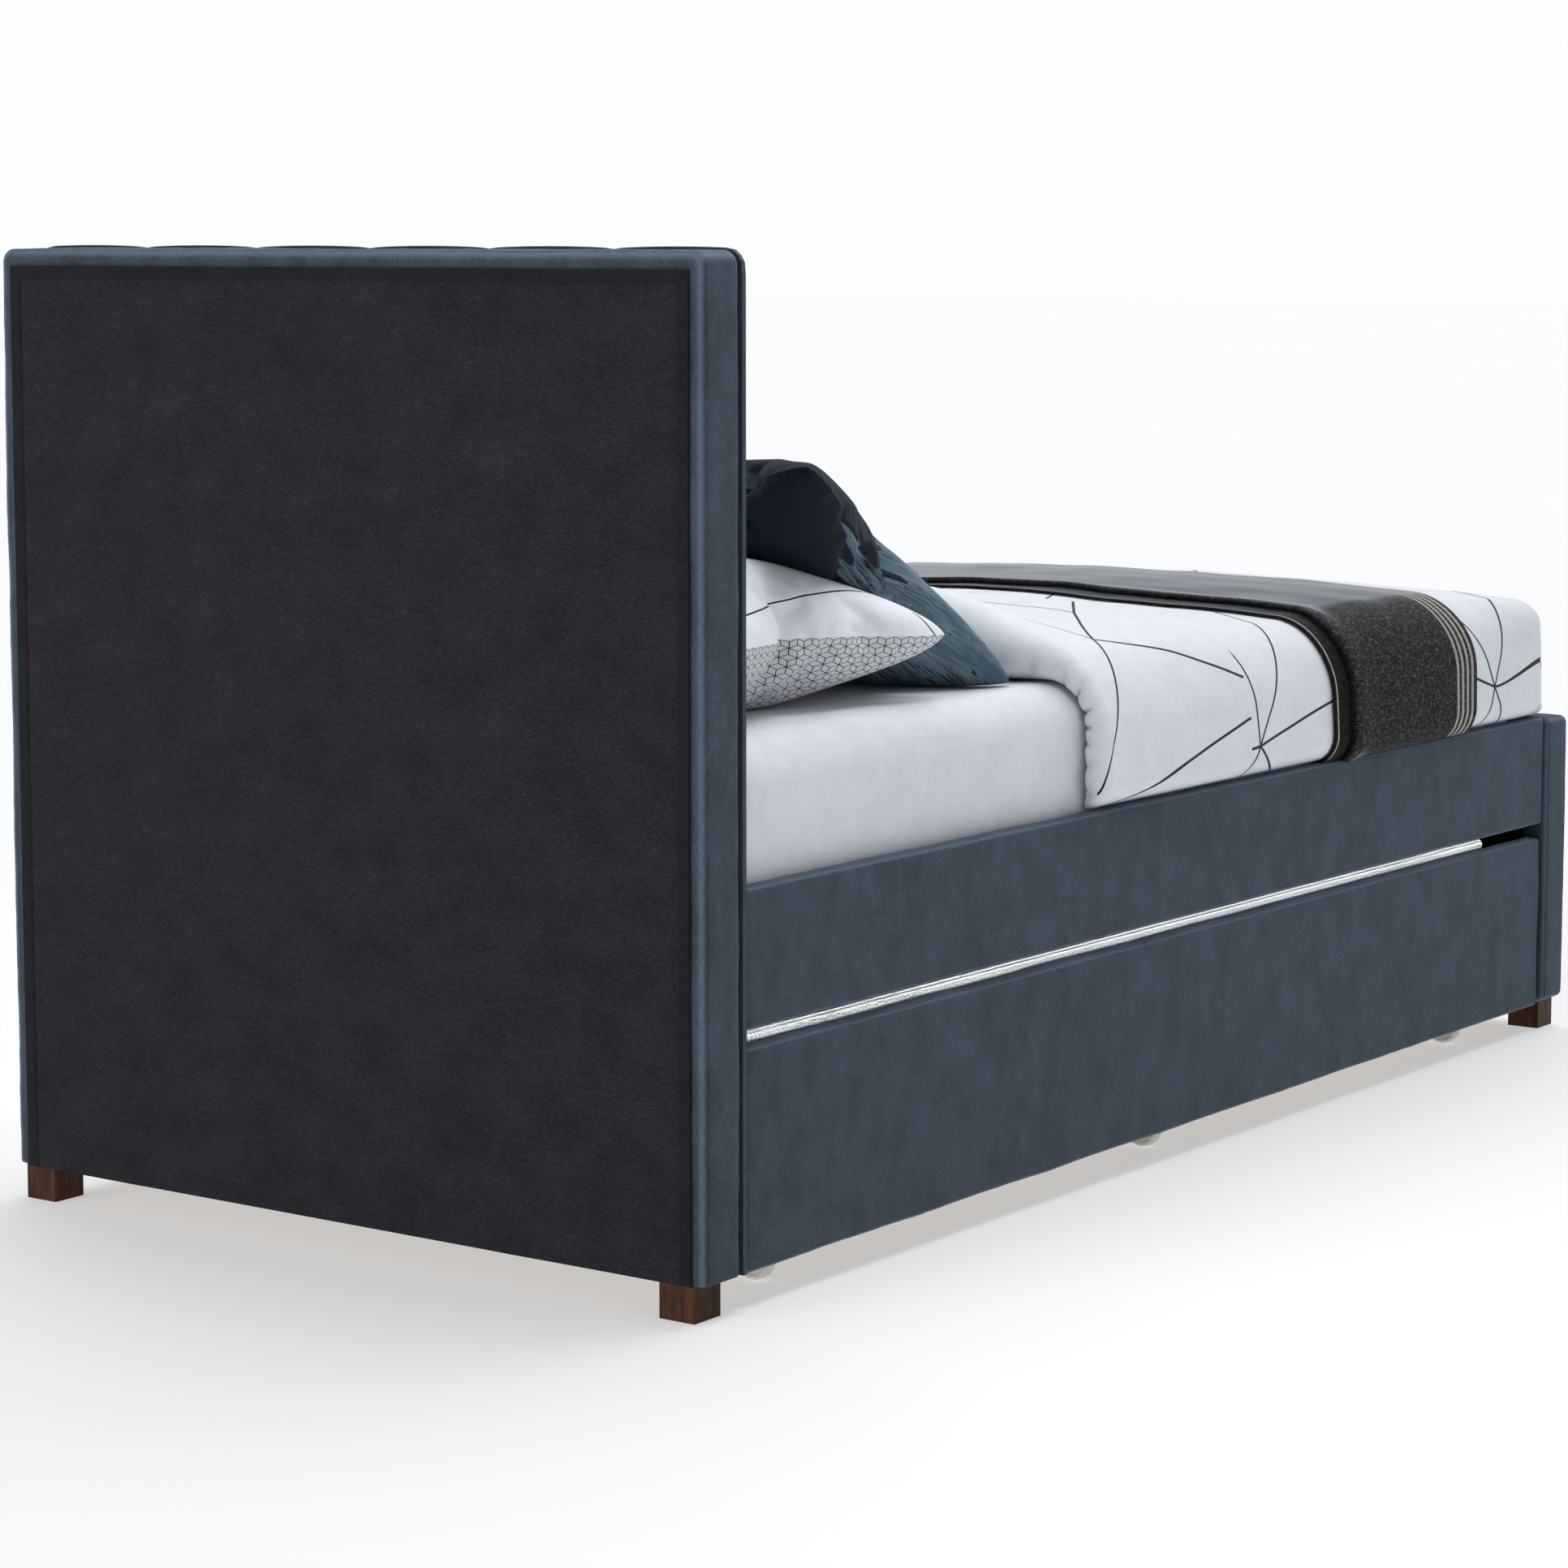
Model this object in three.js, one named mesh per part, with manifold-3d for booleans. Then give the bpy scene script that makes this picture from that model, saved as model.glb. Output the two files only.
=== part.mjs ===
// Trundle bed: an upholstered single bed with a second bed that rolls out from under it on casters.
// Millimetres, +Z up. The origin is on the floor, under the middle of the bed. The headboard is at -X,
// and the trundle pulls out towards -Y.
import * as THREE from "three";
import { mergeVertices } from "three/addons/utils/BufferGeometryUtils.js";
import Module from "manifold-3d";

const wasm = await Module();
wasm.setup();

// ---------- driving dimensions ----------
const BED_LENGTH = 2114;
const BED_WIDTH = 1045;
const HEADBOARD_TOP = 1146;
const FOOTBOARD_TOP = 461;
const LEG_HEIGHT = 42;
const LEG_SIDE = 48;
const HEADBOARD_DEPTH = 86;
const HEADBOARD_BORDER_DEPTH = 72; // from the back to the seam with the front pad
const FOOTBOARD_DEPTH = 66;
const RAIL_INSET = 8; // rails and trundle panel stand back from the headboard's side
const RAIL_DEPTH = 26;
const RAIL_BOTTOM = 306.7;
const RAIL_TOP = 462.7;
const TRUNDLE_BOTTOM = 38;
const TRUNDLE_TOP = 286.6;
const TRUNDLE_END_GAP = 3.5;
const MATTRESS_TOP = 616;
const SLAT_TOP = 390;
const SLAT_COUNT = 10;
const SLAT_SECTION = [70, 18];
const DUVET_TOP = 664; // one layer, in the middle of the bed
const DUVET_FOOT_OVERHANG = 18; // over the footboard's top
const DUVET_SIDE_TOP = 550; // where the side turns into the shoulder
const DUVET_HEAD_X = 757; // from the headboard's back, where the folded duvet starts
const DUVET_FLAP_END_X = 1165;
const DUVET_SIDE_INSET = 6; // the duvet's side, in from the headboard's side
const THROW_THICKNESS = 8;
const THROW_SPAN = [1396, 1814]; // from the headboard's back
const WHITE_PILLOW = [492, 690, 204]; // along the bed, across it, thickness
const NAVY_PILLOW = [500, 680, 192];
const WHEEL_RADIUS = 24;
const WHEEL_WIDTH = 20;
const WHEEL_ROW_INSET = 78;
const WHEEL_POSITIONS = [200, 1042, 1884]; // from the headboard's back
const TOUCH_GAP = 0.3; // between pieces that touch
const COVER = 3.6; // fabric and wadding over a board

// ---------- derived places, in the part's frame ----------
const HEAD = -BED_LENGTH / 2; // back plane of the headboard
const NEAR = -BED_WIDTH / 2; // the side the trundle comes out of
const FAR = BED_WIDTH / 2;
const FOOT = BED_LENGTH / 2;
const RAIL_HEAD = HEAD + HEADBOARD_DEPTH + 0.5;
const RAIL_FOOT = FOOT - FOOTBOARD_DEPTH - 1;
const RAIL_INNER = BED_WIDTH / 2 - RAIL_INSET - RAIL_DEPTH;
const BEDDING_HALF = RAIL_INNER - 0.7; // the sheeted mattress fits between the rails
const BEDDING_HEAD = HEAD + HEADBOARD_DEPTH + 1.5;
const BEDDING_FOOT = FOOT - FOOTBOARD_DEPTH - 27;
const SHEET = 2;

// ---------- solids ----------

// A closed geometry as a manifold-3d solid.
function solid(geometry) {
  const bare = geometry.index ? geometry.toNonIndexed() : geometry.clone();
  bare.deleteAttribute("normal");
  bare.deleteAttribute("uv");
  const merged = mergeVertices(bare, 1e-3);
  return new wasm.Manifold(
    new wasm.Mesh({
      numProp: 3,
      vertProperties: merged.attributes.position.array,
      triVerts: new Uint32Array(merged.index.array),
    }),
  );
}

// A manifold-3d solid as a three.js geometry.
function geometryOf(body) {
  const mesh = body.getMesh();
  const geometry = new THREE.BufferGeometry();
  geometry.setAttribute("position", new THREE.BufferAttribute(mesh.vertProperties, 3));
  geometry.setIndex(new THREE.BufferAttribute(mesh.triVerts, 1));
  const faceted = geometry.toNonIndexed();
  faceted.computeVertexNormals();
  return faceted;
}

function cut(geometry, ...tools) {
  return geometryOf(tools.reduce((body, tool) => body.subtract(solid(tool)), solid(geometry)));
}

function join(first, ...others) {
  return geometryOf(others.reduce((body, other) => body.add(solid(other)), solid(first)));
}

function meet(first, second) {
  return geometryOf(solid(first).intersect(solid(second)));
}

// A plain block between two corners.
function block(low, high) {
  const size = high.map((value, i) => value - low[i]);
  const middle = high.map((value, i) => (value + low[i]) / 2);
  return new THREE.BoxGeometry(...size).translate(...middle);
}

// A rectangle with its own radius at each corner, in the order low-left, low-right, high-right, high-left.
function roundedOutline(width, height, radii) {
  const [a, b, c, d] = radii;
  const shape = new THREE.Shape();
  shape.moveTo(a, 0);
  shape.lineTo(width - b, 0);
  if (b) shape.absarc(width - b, b, b, -Math.PI / 2, 0, false);
  shape.lineTo(width, height - c);
  if (c) shape.absarc(width - c, height - c, c, 0, Math.PI / 2, false);
  shape.lineTo(d, height);
  if (d) shape.absarc(d, height - d, d, Math.PI / 2, Math.PI, false);
  shape.lineTo(0, a);
  if (a) shape.absarc(a, a, a, Math.PI, (3 * Math.PI) / 2, false);
  return shape;
}

// A slab whose outline lies in XY and whose top and bottom edges are rounded, between two corners.
function softBlock(low, high, cornerRadius, edgeRadius, steps = 3) {
  const [width, depth, height] = high.map((value, i) => value - low[i]);
  const outline = roundedOutline(width, depth, [cornerRadius, cornerRadius, cornerRadius, cornerRadius]);
  const geometry = new THREE.ExtrudeGeometry(outline, {
    depth: height - 2 * edgeRadius,
    curveSegments: steps + 1,
    bevelSegments: steps,
    bevelSize: edgeRadius,
    bevelThickness: edgeRadius,
    bevelOffset: -edgeRadius,
  });
  return geometry.translate(low[0], low[1], low[2] + edgeRadius);
}

// A slab that stands across the bed, with its outline in YZ and its thickness along X.
function standingSlab(low, high, radii, edgeRadius, steps = 3) {
  const [thickness, width, height] = high.map((value, i) => value - low[i]);
  const outline = roundedOutline(width, height, radii);
  const geometry = new THREE.ExtrudeGeometry(outline, {
    depth: thickness - 2 * edgeRadius,
    curveSegments: steps + 1,
    bevelSegments: steps,
    bevelSize: edgeRadius,
    bevelThickness: edgeRadius,
    bevelOffset: -edgeRadius,
  });
  const axes = new THREE.Matrix4().makeBasis(
    new THREE.Vector3(0, 1, 0),
    new THREE.Vector3(0, 0, 1),
    new THREE.Vector3(1, 0, 0),
  );
  return geometry.applyMatrix4(axes).translate(low[0] + edgeRadius, low[1], low[2]);
}

// A closed surface through rings of points; each ring is a loop, counterclockwise seen from the last ring.
function loft(rings) {
  const count = rings[0].length;
  const points = rings.flat();
  const faces = [];
  for (let ring = 0; ring + 1 < rings.length; ring++) {
    for (let i = 0; i < count; i++) {
      const a = ring * count + i;
      const b = ring * count + ((i + 1) % count);
      faces.push(a, b, b + count, a, b + count, a + count);
    }
  }
  for (const [ring, turn] of [[0, -1], [rings.length - 1, 1]]) {
    const middle = rings[ring]
      .reduce((sum, point) => sum.map((value, axis) => value + point[axis]), [0, 0, 0])
      .map((value) => value / count);
    const centre = points.push(middle) - 1;
    for (let i = 0; i < count; i++) {
      const a = ring * count + i;
      const b = ring * count + ((i + 1) % count);
      faces.push(...(turn > 0 ? [a, b, centre] : [b, a, centre]));
    }
  }
  const geometry = new THREE.BufferGeometry();
  geometry.setAttribute("position", new THREE.Float32BufferAttribute(points.flat(), 3));
  geometry.setIndex(faces);
  return geometry;
}

// ---------- materials ----------
const finish = (color, roughness, metalness = 0) =>
  new THREE.MeshStandardMaterial({ color, roughness, metalness });
const UPHOLSTERY = finish(0x43505c, 0.85);
const BLACK_FELT = finish(0x26272b, 0.95);
const BOARD = finish(0xb08d62, 0.7);
const WALNUT = finish(0x3b2218, 0.45);
const STEEL = finish(0x9a9c9e, 0.4, 1);
const WHITE_PLASTIC = finish(0xe8e8e6, 0.4);
const WHITE_CLOTH = finish(0xe9ebf0, 0.9);
const KNIT = finish(0xdfe3e8, 0.9);
const THROW_CLOTH = finish(0x3b3c40, 0.95);
const NAVY_CLOTH = finish(0x18212e, 0.85);

const bed = new THREE.Group();

function addPiece(parent, name, geometry, material) {
  const mesh = new THREE.Mesh(geometry, material);
  mesh.name = name;
  parent.add(mesh);
  return mesh;
}

// ---------- headboard ----------
function headboardCore() {
  return block([HEAD + 4.6, NEAR + 12, LEG_HEIGHT], [HEAD + 58, FAR - 12, HEADBOARD_TOP - 12]);
}

// Upholstery round the sides and top, turned over onto the back, open below and towards the front pad.
function headboardBorder() {
  const seam = HEAD + HEADBOARD_BORDER_DEPTH;
  const outer = standingSlab(
    [HEAD + 2.3, NEAR, LEG_HEIGHT],
    [seam + 14, FAR, HEADBOARD_TOP],
    [14, 14, 20, 20],
    12,
  );
  const front = block([seam, NEAR - 10, 0], [seam + 30, FAR + 10, HEADBOARD_TOP + 10]);
  const pocket = block(
    [HEAD + 4.3, NEAR + 11.7, 0],
    [seam + 5, FAR - 11.7, HEADBOARD_TOP - 11.7],
  );
  const back = block([HEAD - 5, NEAR + 34, 0], [HEAD + 10, FAR - 34, HEADBOARD_TOP - 36]);
  return cut(outer, front, pocket, back);
}

// The dust cover on the back: a plate with a folded hem round its sides and top.
function headboardBackCover() {
  const [near, far, top] = [NEAR + 17, FAR - 22, HEADBOARD_TOP - 20];
  const hem = 18;
  const plate = block([HEAD + 0.8, near, LEG_HEIGHT - 1], [HEAD + 2, far, top]);
  const nearHem = block([HEAD, near, LEG_HEIGHT - 1], [HEAD + 2, near + hem, top]);
  const farHem = block([HEAD, far - hem, LEG_HEIGHT - 1], [HEAD + 2, far, top]);
  const topHem = block([HEAD, near, top - hem], [HEAD + 2, far, top]);
  return join(plate, nearHem, farHem, topHem);
}

// The padded front, tufted in squares: the face swells between the tufts.
function headboardFrontPad() {
  const [columns, rows, steps] = [6, 6, 3];
  const back = HEAD + HEADBOARD_BORDER_DEPTH + TOUCH_GAP;
  const [flat, swell] = [back + 6.2, 7.3];
  const [low, high] = [LEG_HEIGHT, HEADBOARD_TOP];
  const rings = [];
  const wave = (t) => Math.sqrt(Math.abs(Math.sin(Math.PI * t)));
  for (let j = 0; j <= rows * steps; j++) {
    const v = j / (rows * steps);
    const ring = [];
    for (let i = 0; i <= columns * steps; i++) {
      const u = i / (columns * steps);
      const x = flat + swell * wave(u * columns) * wave(v * rows);
      ring.push([x, NEAR + u * BED_WIDTH, low + v * (high - low)]);
    }
    ring.push([back, FAR, low + v * (high - low)]);
    ring.push([back, NEAR, low + v * (high - low)]);
    rings.push(ring);
  }
  const front = HEAD + HEADBOARD_DEPTH + 2;
  const trim = standingSlab([back - 10, NEAR, low], [front, FAR, high], [10, 10, 20, 20], 4);
  return meet(loft(rings), trim);
}

// ---------- footboard ----------
function footboardCover() {
  const outer = standingSlab(
    [FOOT - FOOTBOARD_DEPTH, NEAR, LEG_HEIGHT],
    [FOOT, FAR, FOOTBOARD_TOP],
    [13, 13, 13, 13],
    11,
  );
  const pocket = block(
    [FOOT - FOOTBOARD_DEPTH + COVER, NEAR + COVER + 8, 0],
    [FOOT - COVER, FAR - COVER - 8, FOOTBOARD_TOP - COVER - 4],
  );
  return cut(outer, pocket);
}

// Black dust cover on the inner face, stapled a little in from the sides.
function footboardInnerCover() {
  const face = FOOT - FOOTBOARD_DEPTH - TOUCH_GAP;
  const inset = RAIL_INSET + RAIL_DEPTH + 1.2;
  return block(
    [face - 0.6, NEAR + inset, LEG_HEIGHT + 3],
    [face, FAR - inset, FOOTBOARD_TOP - 40],
  );
}

function footboardCore() {
  const gap = COVER + TOUCH_GAP;
  return block(
    [FOOT - FOOTBOARD_DEPTH + gap, NEAR + gap + 8, LEG_HEIGHT],
    [FOOT - gap, FAR - gap - 8, FOOTBOARD_TOP - gap - 4],
  );
}

// ---------- side rails ----------
// The board and its cover for a panel that runs along the bed; the cover is open at the inner face.
function railCover(outerY, inward, low, high, head, foot) {
  const radius = 5;
  const innerY = outerY + inward * RAIL_DEPTH;
  const [y0, y1] = [Math.min(outerY, innerY), Math.max(outerY, innerY)];
  const outer = softBlock([head, y0, low], [foot, y1, high], radius + 1, radius, 2);
  const boardY = [outerY + inward * COVER, innerY + inward * 5];
  const board = block(
    [head + COVER, Math.min(...boardY), low + COVER],
    [foot - COVER, Math.max(...boardY), high - COVER],
  );
  return cut(outer, board);
}

function railCore(outerY, inward, low, high, head, foot) {
  const gap = COVER + TOUCH_GAP;
  const boardY = [outerY + inward * gap, outerY + inward * RAIL_DEPTH];
  return block(
    [head + gap, Math.min(...boardY), low + gap],
    [foot - gap, Math.max(...boardY), high - gap],
  );
}

// An angle bracket that holds a rail to a board: one leaf on the rail, one on the board, a bolt head on each.
function railBracket(endX, towardsMiddle, side) {
  const railFace = side * (RAIL_INNER - TOUCH_GAP);
  const [low, high, leaf, plate] = [318, 366, 38, 3];
  const x0 = endX + towardsMiddle * 0.3;
  const box = (xa, xb, ya, yb, za, zb) =>
    block(
      [Math.min(xa, xb), Math.min(ya, yb), za],
      [Math.max(xa, xb), Math.max(ya, yb), zb],
    );
  const onRail = box(x0, x0 + towardsMiddle * leaf, railFace, railFace - side * plate, low, high);
  const onBoard = box(x0, x0 + towardsMiddle * plate, railFace, railFace - side * leaf, low, high);
  const bolt = new THREE.CylinderGeometry(7, 7, 5, 12)
    .rotateZ(Math.PI / 2)
    .translate(x0 + towardsMiddle * (plate + 2), railFace - side * 22, (low + high) / 2);
  return join(onRail, onBoard, bolt);
}

// ---------- slats ----------
function ledger(side) {
  const outer = side * (RAIL_INNER - TOUCH_GAP);
  const inner = outer - side * 24;
  const top = SLAT_TOP - SLAT_SECTION[1] - TOUCH_GAP;
  return block(
    [RAIL_HEAD + 46, Math.min(outer, inner), top - 30],
    [RAIL_FOOT - 46, Math.max(outer, inner), top],
  );
}

function centreBeam() {
  const top = SLAT_TOP - SLAT_SECTION[1] - TOUCH_GAP;
  return block([RAIL_HEAD + 1, -20, top - 50], [RAIL_FOOT - 1, 20, top]);
}

function slat(index) {
  const [width, thickness] = SLAT_SECTION;
  const first = RAIL_HEAD + 55 + width / 2;
  const last = RAIL_FOOT - 55 - width / 2;
  const middle = first + ((last - first) * index) / (SLAT_COUNT - 1);
  const half = RAIL_INNER - 4;
  return softBlock(
    [middle - width / 2, -half, SLAT_TOP - thickness],
    [middle + width / 2, half, SLAT_TOP],
    4,
    3,
    1,
  );
}

// ---------- legs ----------
function leg(x, y) {
  const chamfer = 1.5;
  const outline = roundedOutline(LEG_SIDE, LEG_SIDE, [chamfer, chamfer, chamfer, chamfer]);
  return new THREE.ExtrudeGeometry(outline, {
    depth: LEG_HEIGHT - TOUCH_GAP,
    bevelEnabled: false,
    curveSegments: 1,
  }).translate(x - LEG_SIDE / 2, y - LEG_SIDE / 2, 0);
}

// ---------- mattress and bedding ----------
function mattressShape(shrink) {
  return softBlock(
    [BEDDING_HEAD + shrink, -BEDDING_HALF + shrink, SLAT_TOP + TOUCH_GAP],
    [BEDDING_FOOT - shrink, BEDDING_HALF - shrink, MATTRESS_TOP + SHEET + TOUCH_GAP - shrink],
    58,
    55,
    3,
  );
}

function fittedSheet() {
  const below = block([HEAD, NEAR, 300], [FOOT, FAR, 404]);
  return cut(mattressShape(0), mattressShape(SHEET), below);
}

// Height of the duvet's top along the bed: a roll at the fold, two layers up to the flap's edge, then one.
function duvetTop(fromHead) {
  const roll = 46 * Math.exp(-(((fromHead - DUVET_HEAD_X - 50) / 85) ** 2));
  const sink = 14 / (1 + Math.exp((1920 - fromHead) / 40));
  const flap = 23 / (1 + Math.exp((fromHead - DUVET_FLAP_END_X) / 14));
  return DUVET_TOP + roll + flap - sink;
}

// One cross-section of the duvet's outside: up the side, over the shoulder, and across the crowned top.
function duvetRing(fromHead, proud, inset) {
  const x = HEAD + fromHead;
  const half = BED_WIDTH / 2 - DUVET_SIDE_INSET + proud - inset;
  const middle = duvetTop(fromHead) + proud - inset;
  const crown = (y) => middle - 0.00007 * y * y;
  const bottom = RAIL_TOP + 1.6;
  const [reach, steps] = [97, 5];
  const rise = crown(half - reach) - DUVET_SIDE_TOP;
  const far = [
    [half - 7, bottom],
    [half - 2, bottom + 40],
  ];
  for (let i = 0; i <= steps; i++) {
    const angle = (i / steps) * (Math.PI / 2);
    far.push([half - reach * (1 - Math.cos(angle)), DUVET_SIDE_TOP + rise * Math.sin(angle)]);
  }
  far.push([200, crown(200)]);
  const near = far.map(([y, z]) => [-y, z]).reverse();
  return [...far, [0, middle], ...near].map(([y, z]) => [x, y, z]);
}

function duvetOutside(proud, start = DUVET_HEAD_X, end = BED_LENGTH - FOOTBOARD_DEPTH + DUVET_FOOT_OVERHANG) {
  const round = 42;
  const stations = [];
  for (const part of [0, 0.3, 0.62, 1]) {
    stations.push([start + round * (1 - Math.cos((part * Math.PI) / 2)), round * (1 - Math.sin((part * Math.PI) / 2))]);
  }
  for (const at of [845, 890, 940, 1060, 1150, 1180, 1210, 1400, 1600, 1800, 1900, 1980]) stations.push([at, 0]);
  for (const part of [1, 0.62, 0.3, 0]) {
    stations.push([end - round * (1 - Math.cos((part * Math.PI) / 2)), round * (1 - Math.sin((part * Math.PI) / 2))]);
  }
  return loft(stations.map(([at, inset]) => duvetRing(at, proud, inset)));
}

function duvet() {
  return cut(duvetOutside(0), mattressShape(-0.4));
}

// The throw lies over the duvet like a band across the bed.
function throwBlanket() {
  const [start, end] = THROW_SPAN;
  const band = block([HEAD + start, NEAR - 20, RAIL_TOP + 1.6], [HEAD + end, FAR + 20, RAIL_TOP + 400]);
  const cloth = meet(duvetOutside(THROW_THICKNESS), band);
  return cut(cloth, duvetOutside(TOUCH_GAP), mattressShape(-0.4));
}

// ---------- pillows ----------
// A pillow lying in XY: its corners stand out, its sides draw in, and it swells towards the middle.
function pillow(length, width, thickness, proud = 0) {
  const steps = 10;
  const rings = [];
  const half = (t) => Math.sin((t * Math.PI) / 2);
  const height = (u, v) => {
    const falloff = (1 - u ** 4) * (1 - v ** 4);
    return (thickness / 2) * Math.pow(Math.max(falloff, 0), 0.62) + 1.5 + proud;
  };
  const place = (u, v) => {
    const drawIn = 0.045;
    return [
      (length / 2 + proud) * u * (1 - drawIn * (1 - v * v) * u * u),
      (width / 2 + proud) * v * (1 - drawIn * (1 - u * u) * v * v),
    ];
  };
  for (let j = 0; j <= steps; j++) {
    const v = half((2 * j) / steps - 1);
    const upper = [];
    const lower = [];
    for (let i = 0; i <= steps; i++) {
      const u = half((2 * i) / steps - 1);
      const [x, y] = place(u, v);
      upper.push([x, y, height(u, v)]);
      lower.push([x, y, -height(u, v)]);
    }
    rings.push([...upper, ...lower.reverse()]);
  }
  return loft(rings);
}

function placeWhitePillow(geometry) {
  return geometry
    .rotateY(THREE.MathUtils.degToRad(2.2))
    .translate(HEAD + 337, NEAR + 72 + 345, 702);
}

function whitePillow() {
  return cut(placeWhitePillow(pillow(...WHITE_PILLOW)), mattressShape(-0.5));
}

function navyPillow() {
  const shape = pillow(...NAVY_PILLOW)
    .rotateY(THREE.MathUtils.degToRad(34))
    .translate(HEAD + 545, NEAR + 95 + 340, 762);
  const whiteSpace = placeWhitePillow(pillow(...WHITE_PILLOW, 0.6));
  return cut(shape, whiteSpace, mattressShape(-0.5), duvetOutside(0.5));
}

// ---------- trundle ----------
const TRUNDLE_HEAD = HEAD + HEADBOARD_DEPTH + TRUNDLE_END_GAP;
const TRUNDLE_FOOT = FOOT - FOOTBOARD_DEPTH - TRUNDLE_END_GAP;
const TRUNDLE_FRONT = NEAR + RAIL_INSET;
const TRUNDLE_INSIDE = TRUNDLE_FRONT + RAIL_DEPTH + TOUCH_GAP;
const TRUNDLE_BACK = FAR - 46; // inner face of the back board
const TRUNDLE_SLAT_TOP = 98;
const TRUNDLE_FRAME_LOW = 54;
const CASTER_PLATE_TOP = 59.5;
const BOARD_THICKNESS = 18;

function trundleEnd(outerX, inward) {
  const innerX = outerX + inward * BOARD_THICKNESS;
  return block(
    [Math.min(outerX, innerX), TRUNDLE_INSIDE, TRUNDLE_FRAME_LOW],
    [Math.max(outerX, innerX), TRUNDLE_BACK - TOUCH_GAP, 150],
  );
}

function trundleBackBoard() {
  return block(
    [TRUNDLE_HEAD, TRUNDLE_BACK, TRUNDLE_FRAME_LOW],
    [TRUNDLE_FOOT, TRUNDLE_BACK + BOARD_THICKNESS, 190],
  );
}

// A rail between the two end boards, under the slats.
function trundleRail(y, width) {
  const inside = BOARD_THICKNESS + TOUCH_GAP;
  return block(
    [TRUNDLE_HEAD + inside, y - width / 2, CASTER_PLATE_TOP + TOUCH_GAP],
    [TRUNDLE_FOOT - inside, y + width / 2, TRUNDLE_SLAT_TOP - 17 - TOUCH_GAP],
  );
}

// The loose roll of slats: thin slats stapled to two webbing straps.
function trundleSlatRoll() {
  const count = 12;
  const [width, thickness] = [62, 14];
  const first = TRUNDLE_HEAD + 24 + width / 2;
  const last = TRUNDLE_FOOT - 24 - width / 2;
  const [y0, y1] = [TRUNDLE_INSIDE + 4, TRUNDLE_BACK - 4];
  const pieces = [];
  for (let i = 0; i < count; i++) {
    const middle = first + ((last - first) * i) / (count - 1);
    pieces.push(
      block(
        [middle - width / 2, y0, TRUNDLE_SLAT_TOP - 3 - thickness],
        [middle + width / 2, y1, TRUNDLE_SLAT_TOP - 2],
      ),
    );
  }
  for (const y of [y0 + 120, y1 - 120]) {
    pieces.push(block([first, y - 15, TRUNDLE_SLAT_TOP - 3], [last, y + 15, TRUNDLE_SLAT_TOP]));
  }
  return join(...pieces);
}

function trundleMattress() {
  return softBlock(
    [TRUNDLE_HEAD + 20, TRUNDLE_INSIDE + 2, TRUNDLE_SLAT_TOP + TOUCH_GAP],
    [HEAD + 1950, TRUNDLE_BACK - 3, 302],
    45,
    13,
    2,
  );
}

// ---------- casters ----------
const WHEEL_BORE = 4.14;
const AXLE_RADIUS = 4;
const ROUND_SIDES = 16;

// A fixed fork: a top plate screwed under the frame, two cheeks and the axle between them.
function casterBracket() {
  const cheekInner = WHEEL_WIDTH / 2 + 0.8;
  const cheek = 2.5;
  const plateTop = CASTER_PLATE_TOP;
  const plate = block([-24, -20, plateTop - 3], [24, 20, plateTop]);
  const cheeks = [-1, 1].map((side) => {
    const [a, b] = [side * cheekInner, side * (cheekInner + cheek)];
    return block([Math.min(a, b), -9, WHEEL_RADIUS - 8], [Math.max(a, b), 9, plateTop - 1]);
  });
  const axle = new THREE.CylinderGeometry(AXLE_RADIUS, AXLE_RADIUS, 2 * (cheekInner + cheek) + 5, ROUND_SIDES)
    .rotateZ(Math.PI / 2)
    .translate(0, 0, WHEEL_RADIUS);
  return join(plate, ...cheeks, axle);
}

// A moulded wheel on a plain bore, with a rounded tread and a dished web on both sides.
function casterWheel() {
  const half = WHEEL_WIDTH / 2;
  const r = WHEEL_RADIUS;
  const profile = [
    [WHEEL_BORE, -half],
    [9, -half],
    [9.5, -half + 4],
    [r - 7, -half + 4],
    [r - 5, -half + 0.5],
    [r - 2, -half + 1],
    [r, -half + 5],
    [r, half - 5],
    [r - 2, half - 1],
    [r - 5, half - 0.5],
    [r - 7, half - 4],
    [9.5, half - 4],
    [9, half],
    [WHEEL_BORE, half],
    [WHEEL_BORE, -half],
  ];
  const points = profile.map(([radius, along]) => new THREE.Vector2(radius, along));
  return new THREE.LatheGeometry(points, ROUND_SIDES).rotateZ(Math.PI / 2);
}

// ---------- assembly ----------
function buildHeadboard() {
  const group = new THREE.Group();
  addPiece(group, "headboard_core", headboardCore(), BOARD);
  addPiece(group, "headboard_border", headboardBorder(), UPHOLSTERY);
  addPiece(group, "headboard_back_cover", headboardBackCover(), BLACK_FELT);
  addPiece(group, "headboard_front_pad", headboardFrontPad(), UPHOLSTERY);
  bed.add(group);
}

function buildFootboard() {
  const group = new THREE.Group();
  addPiece(group, "footboard_core", footboardCore(), BOARD);
  addPiece(group, "footboard_cover", footboardCover(), UPHOLSTERY);
  addPiece(group, "footboard_inner_cover", footboardInnerCover(), BLACK_FELT);
  bed.add(group);
}

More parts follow.
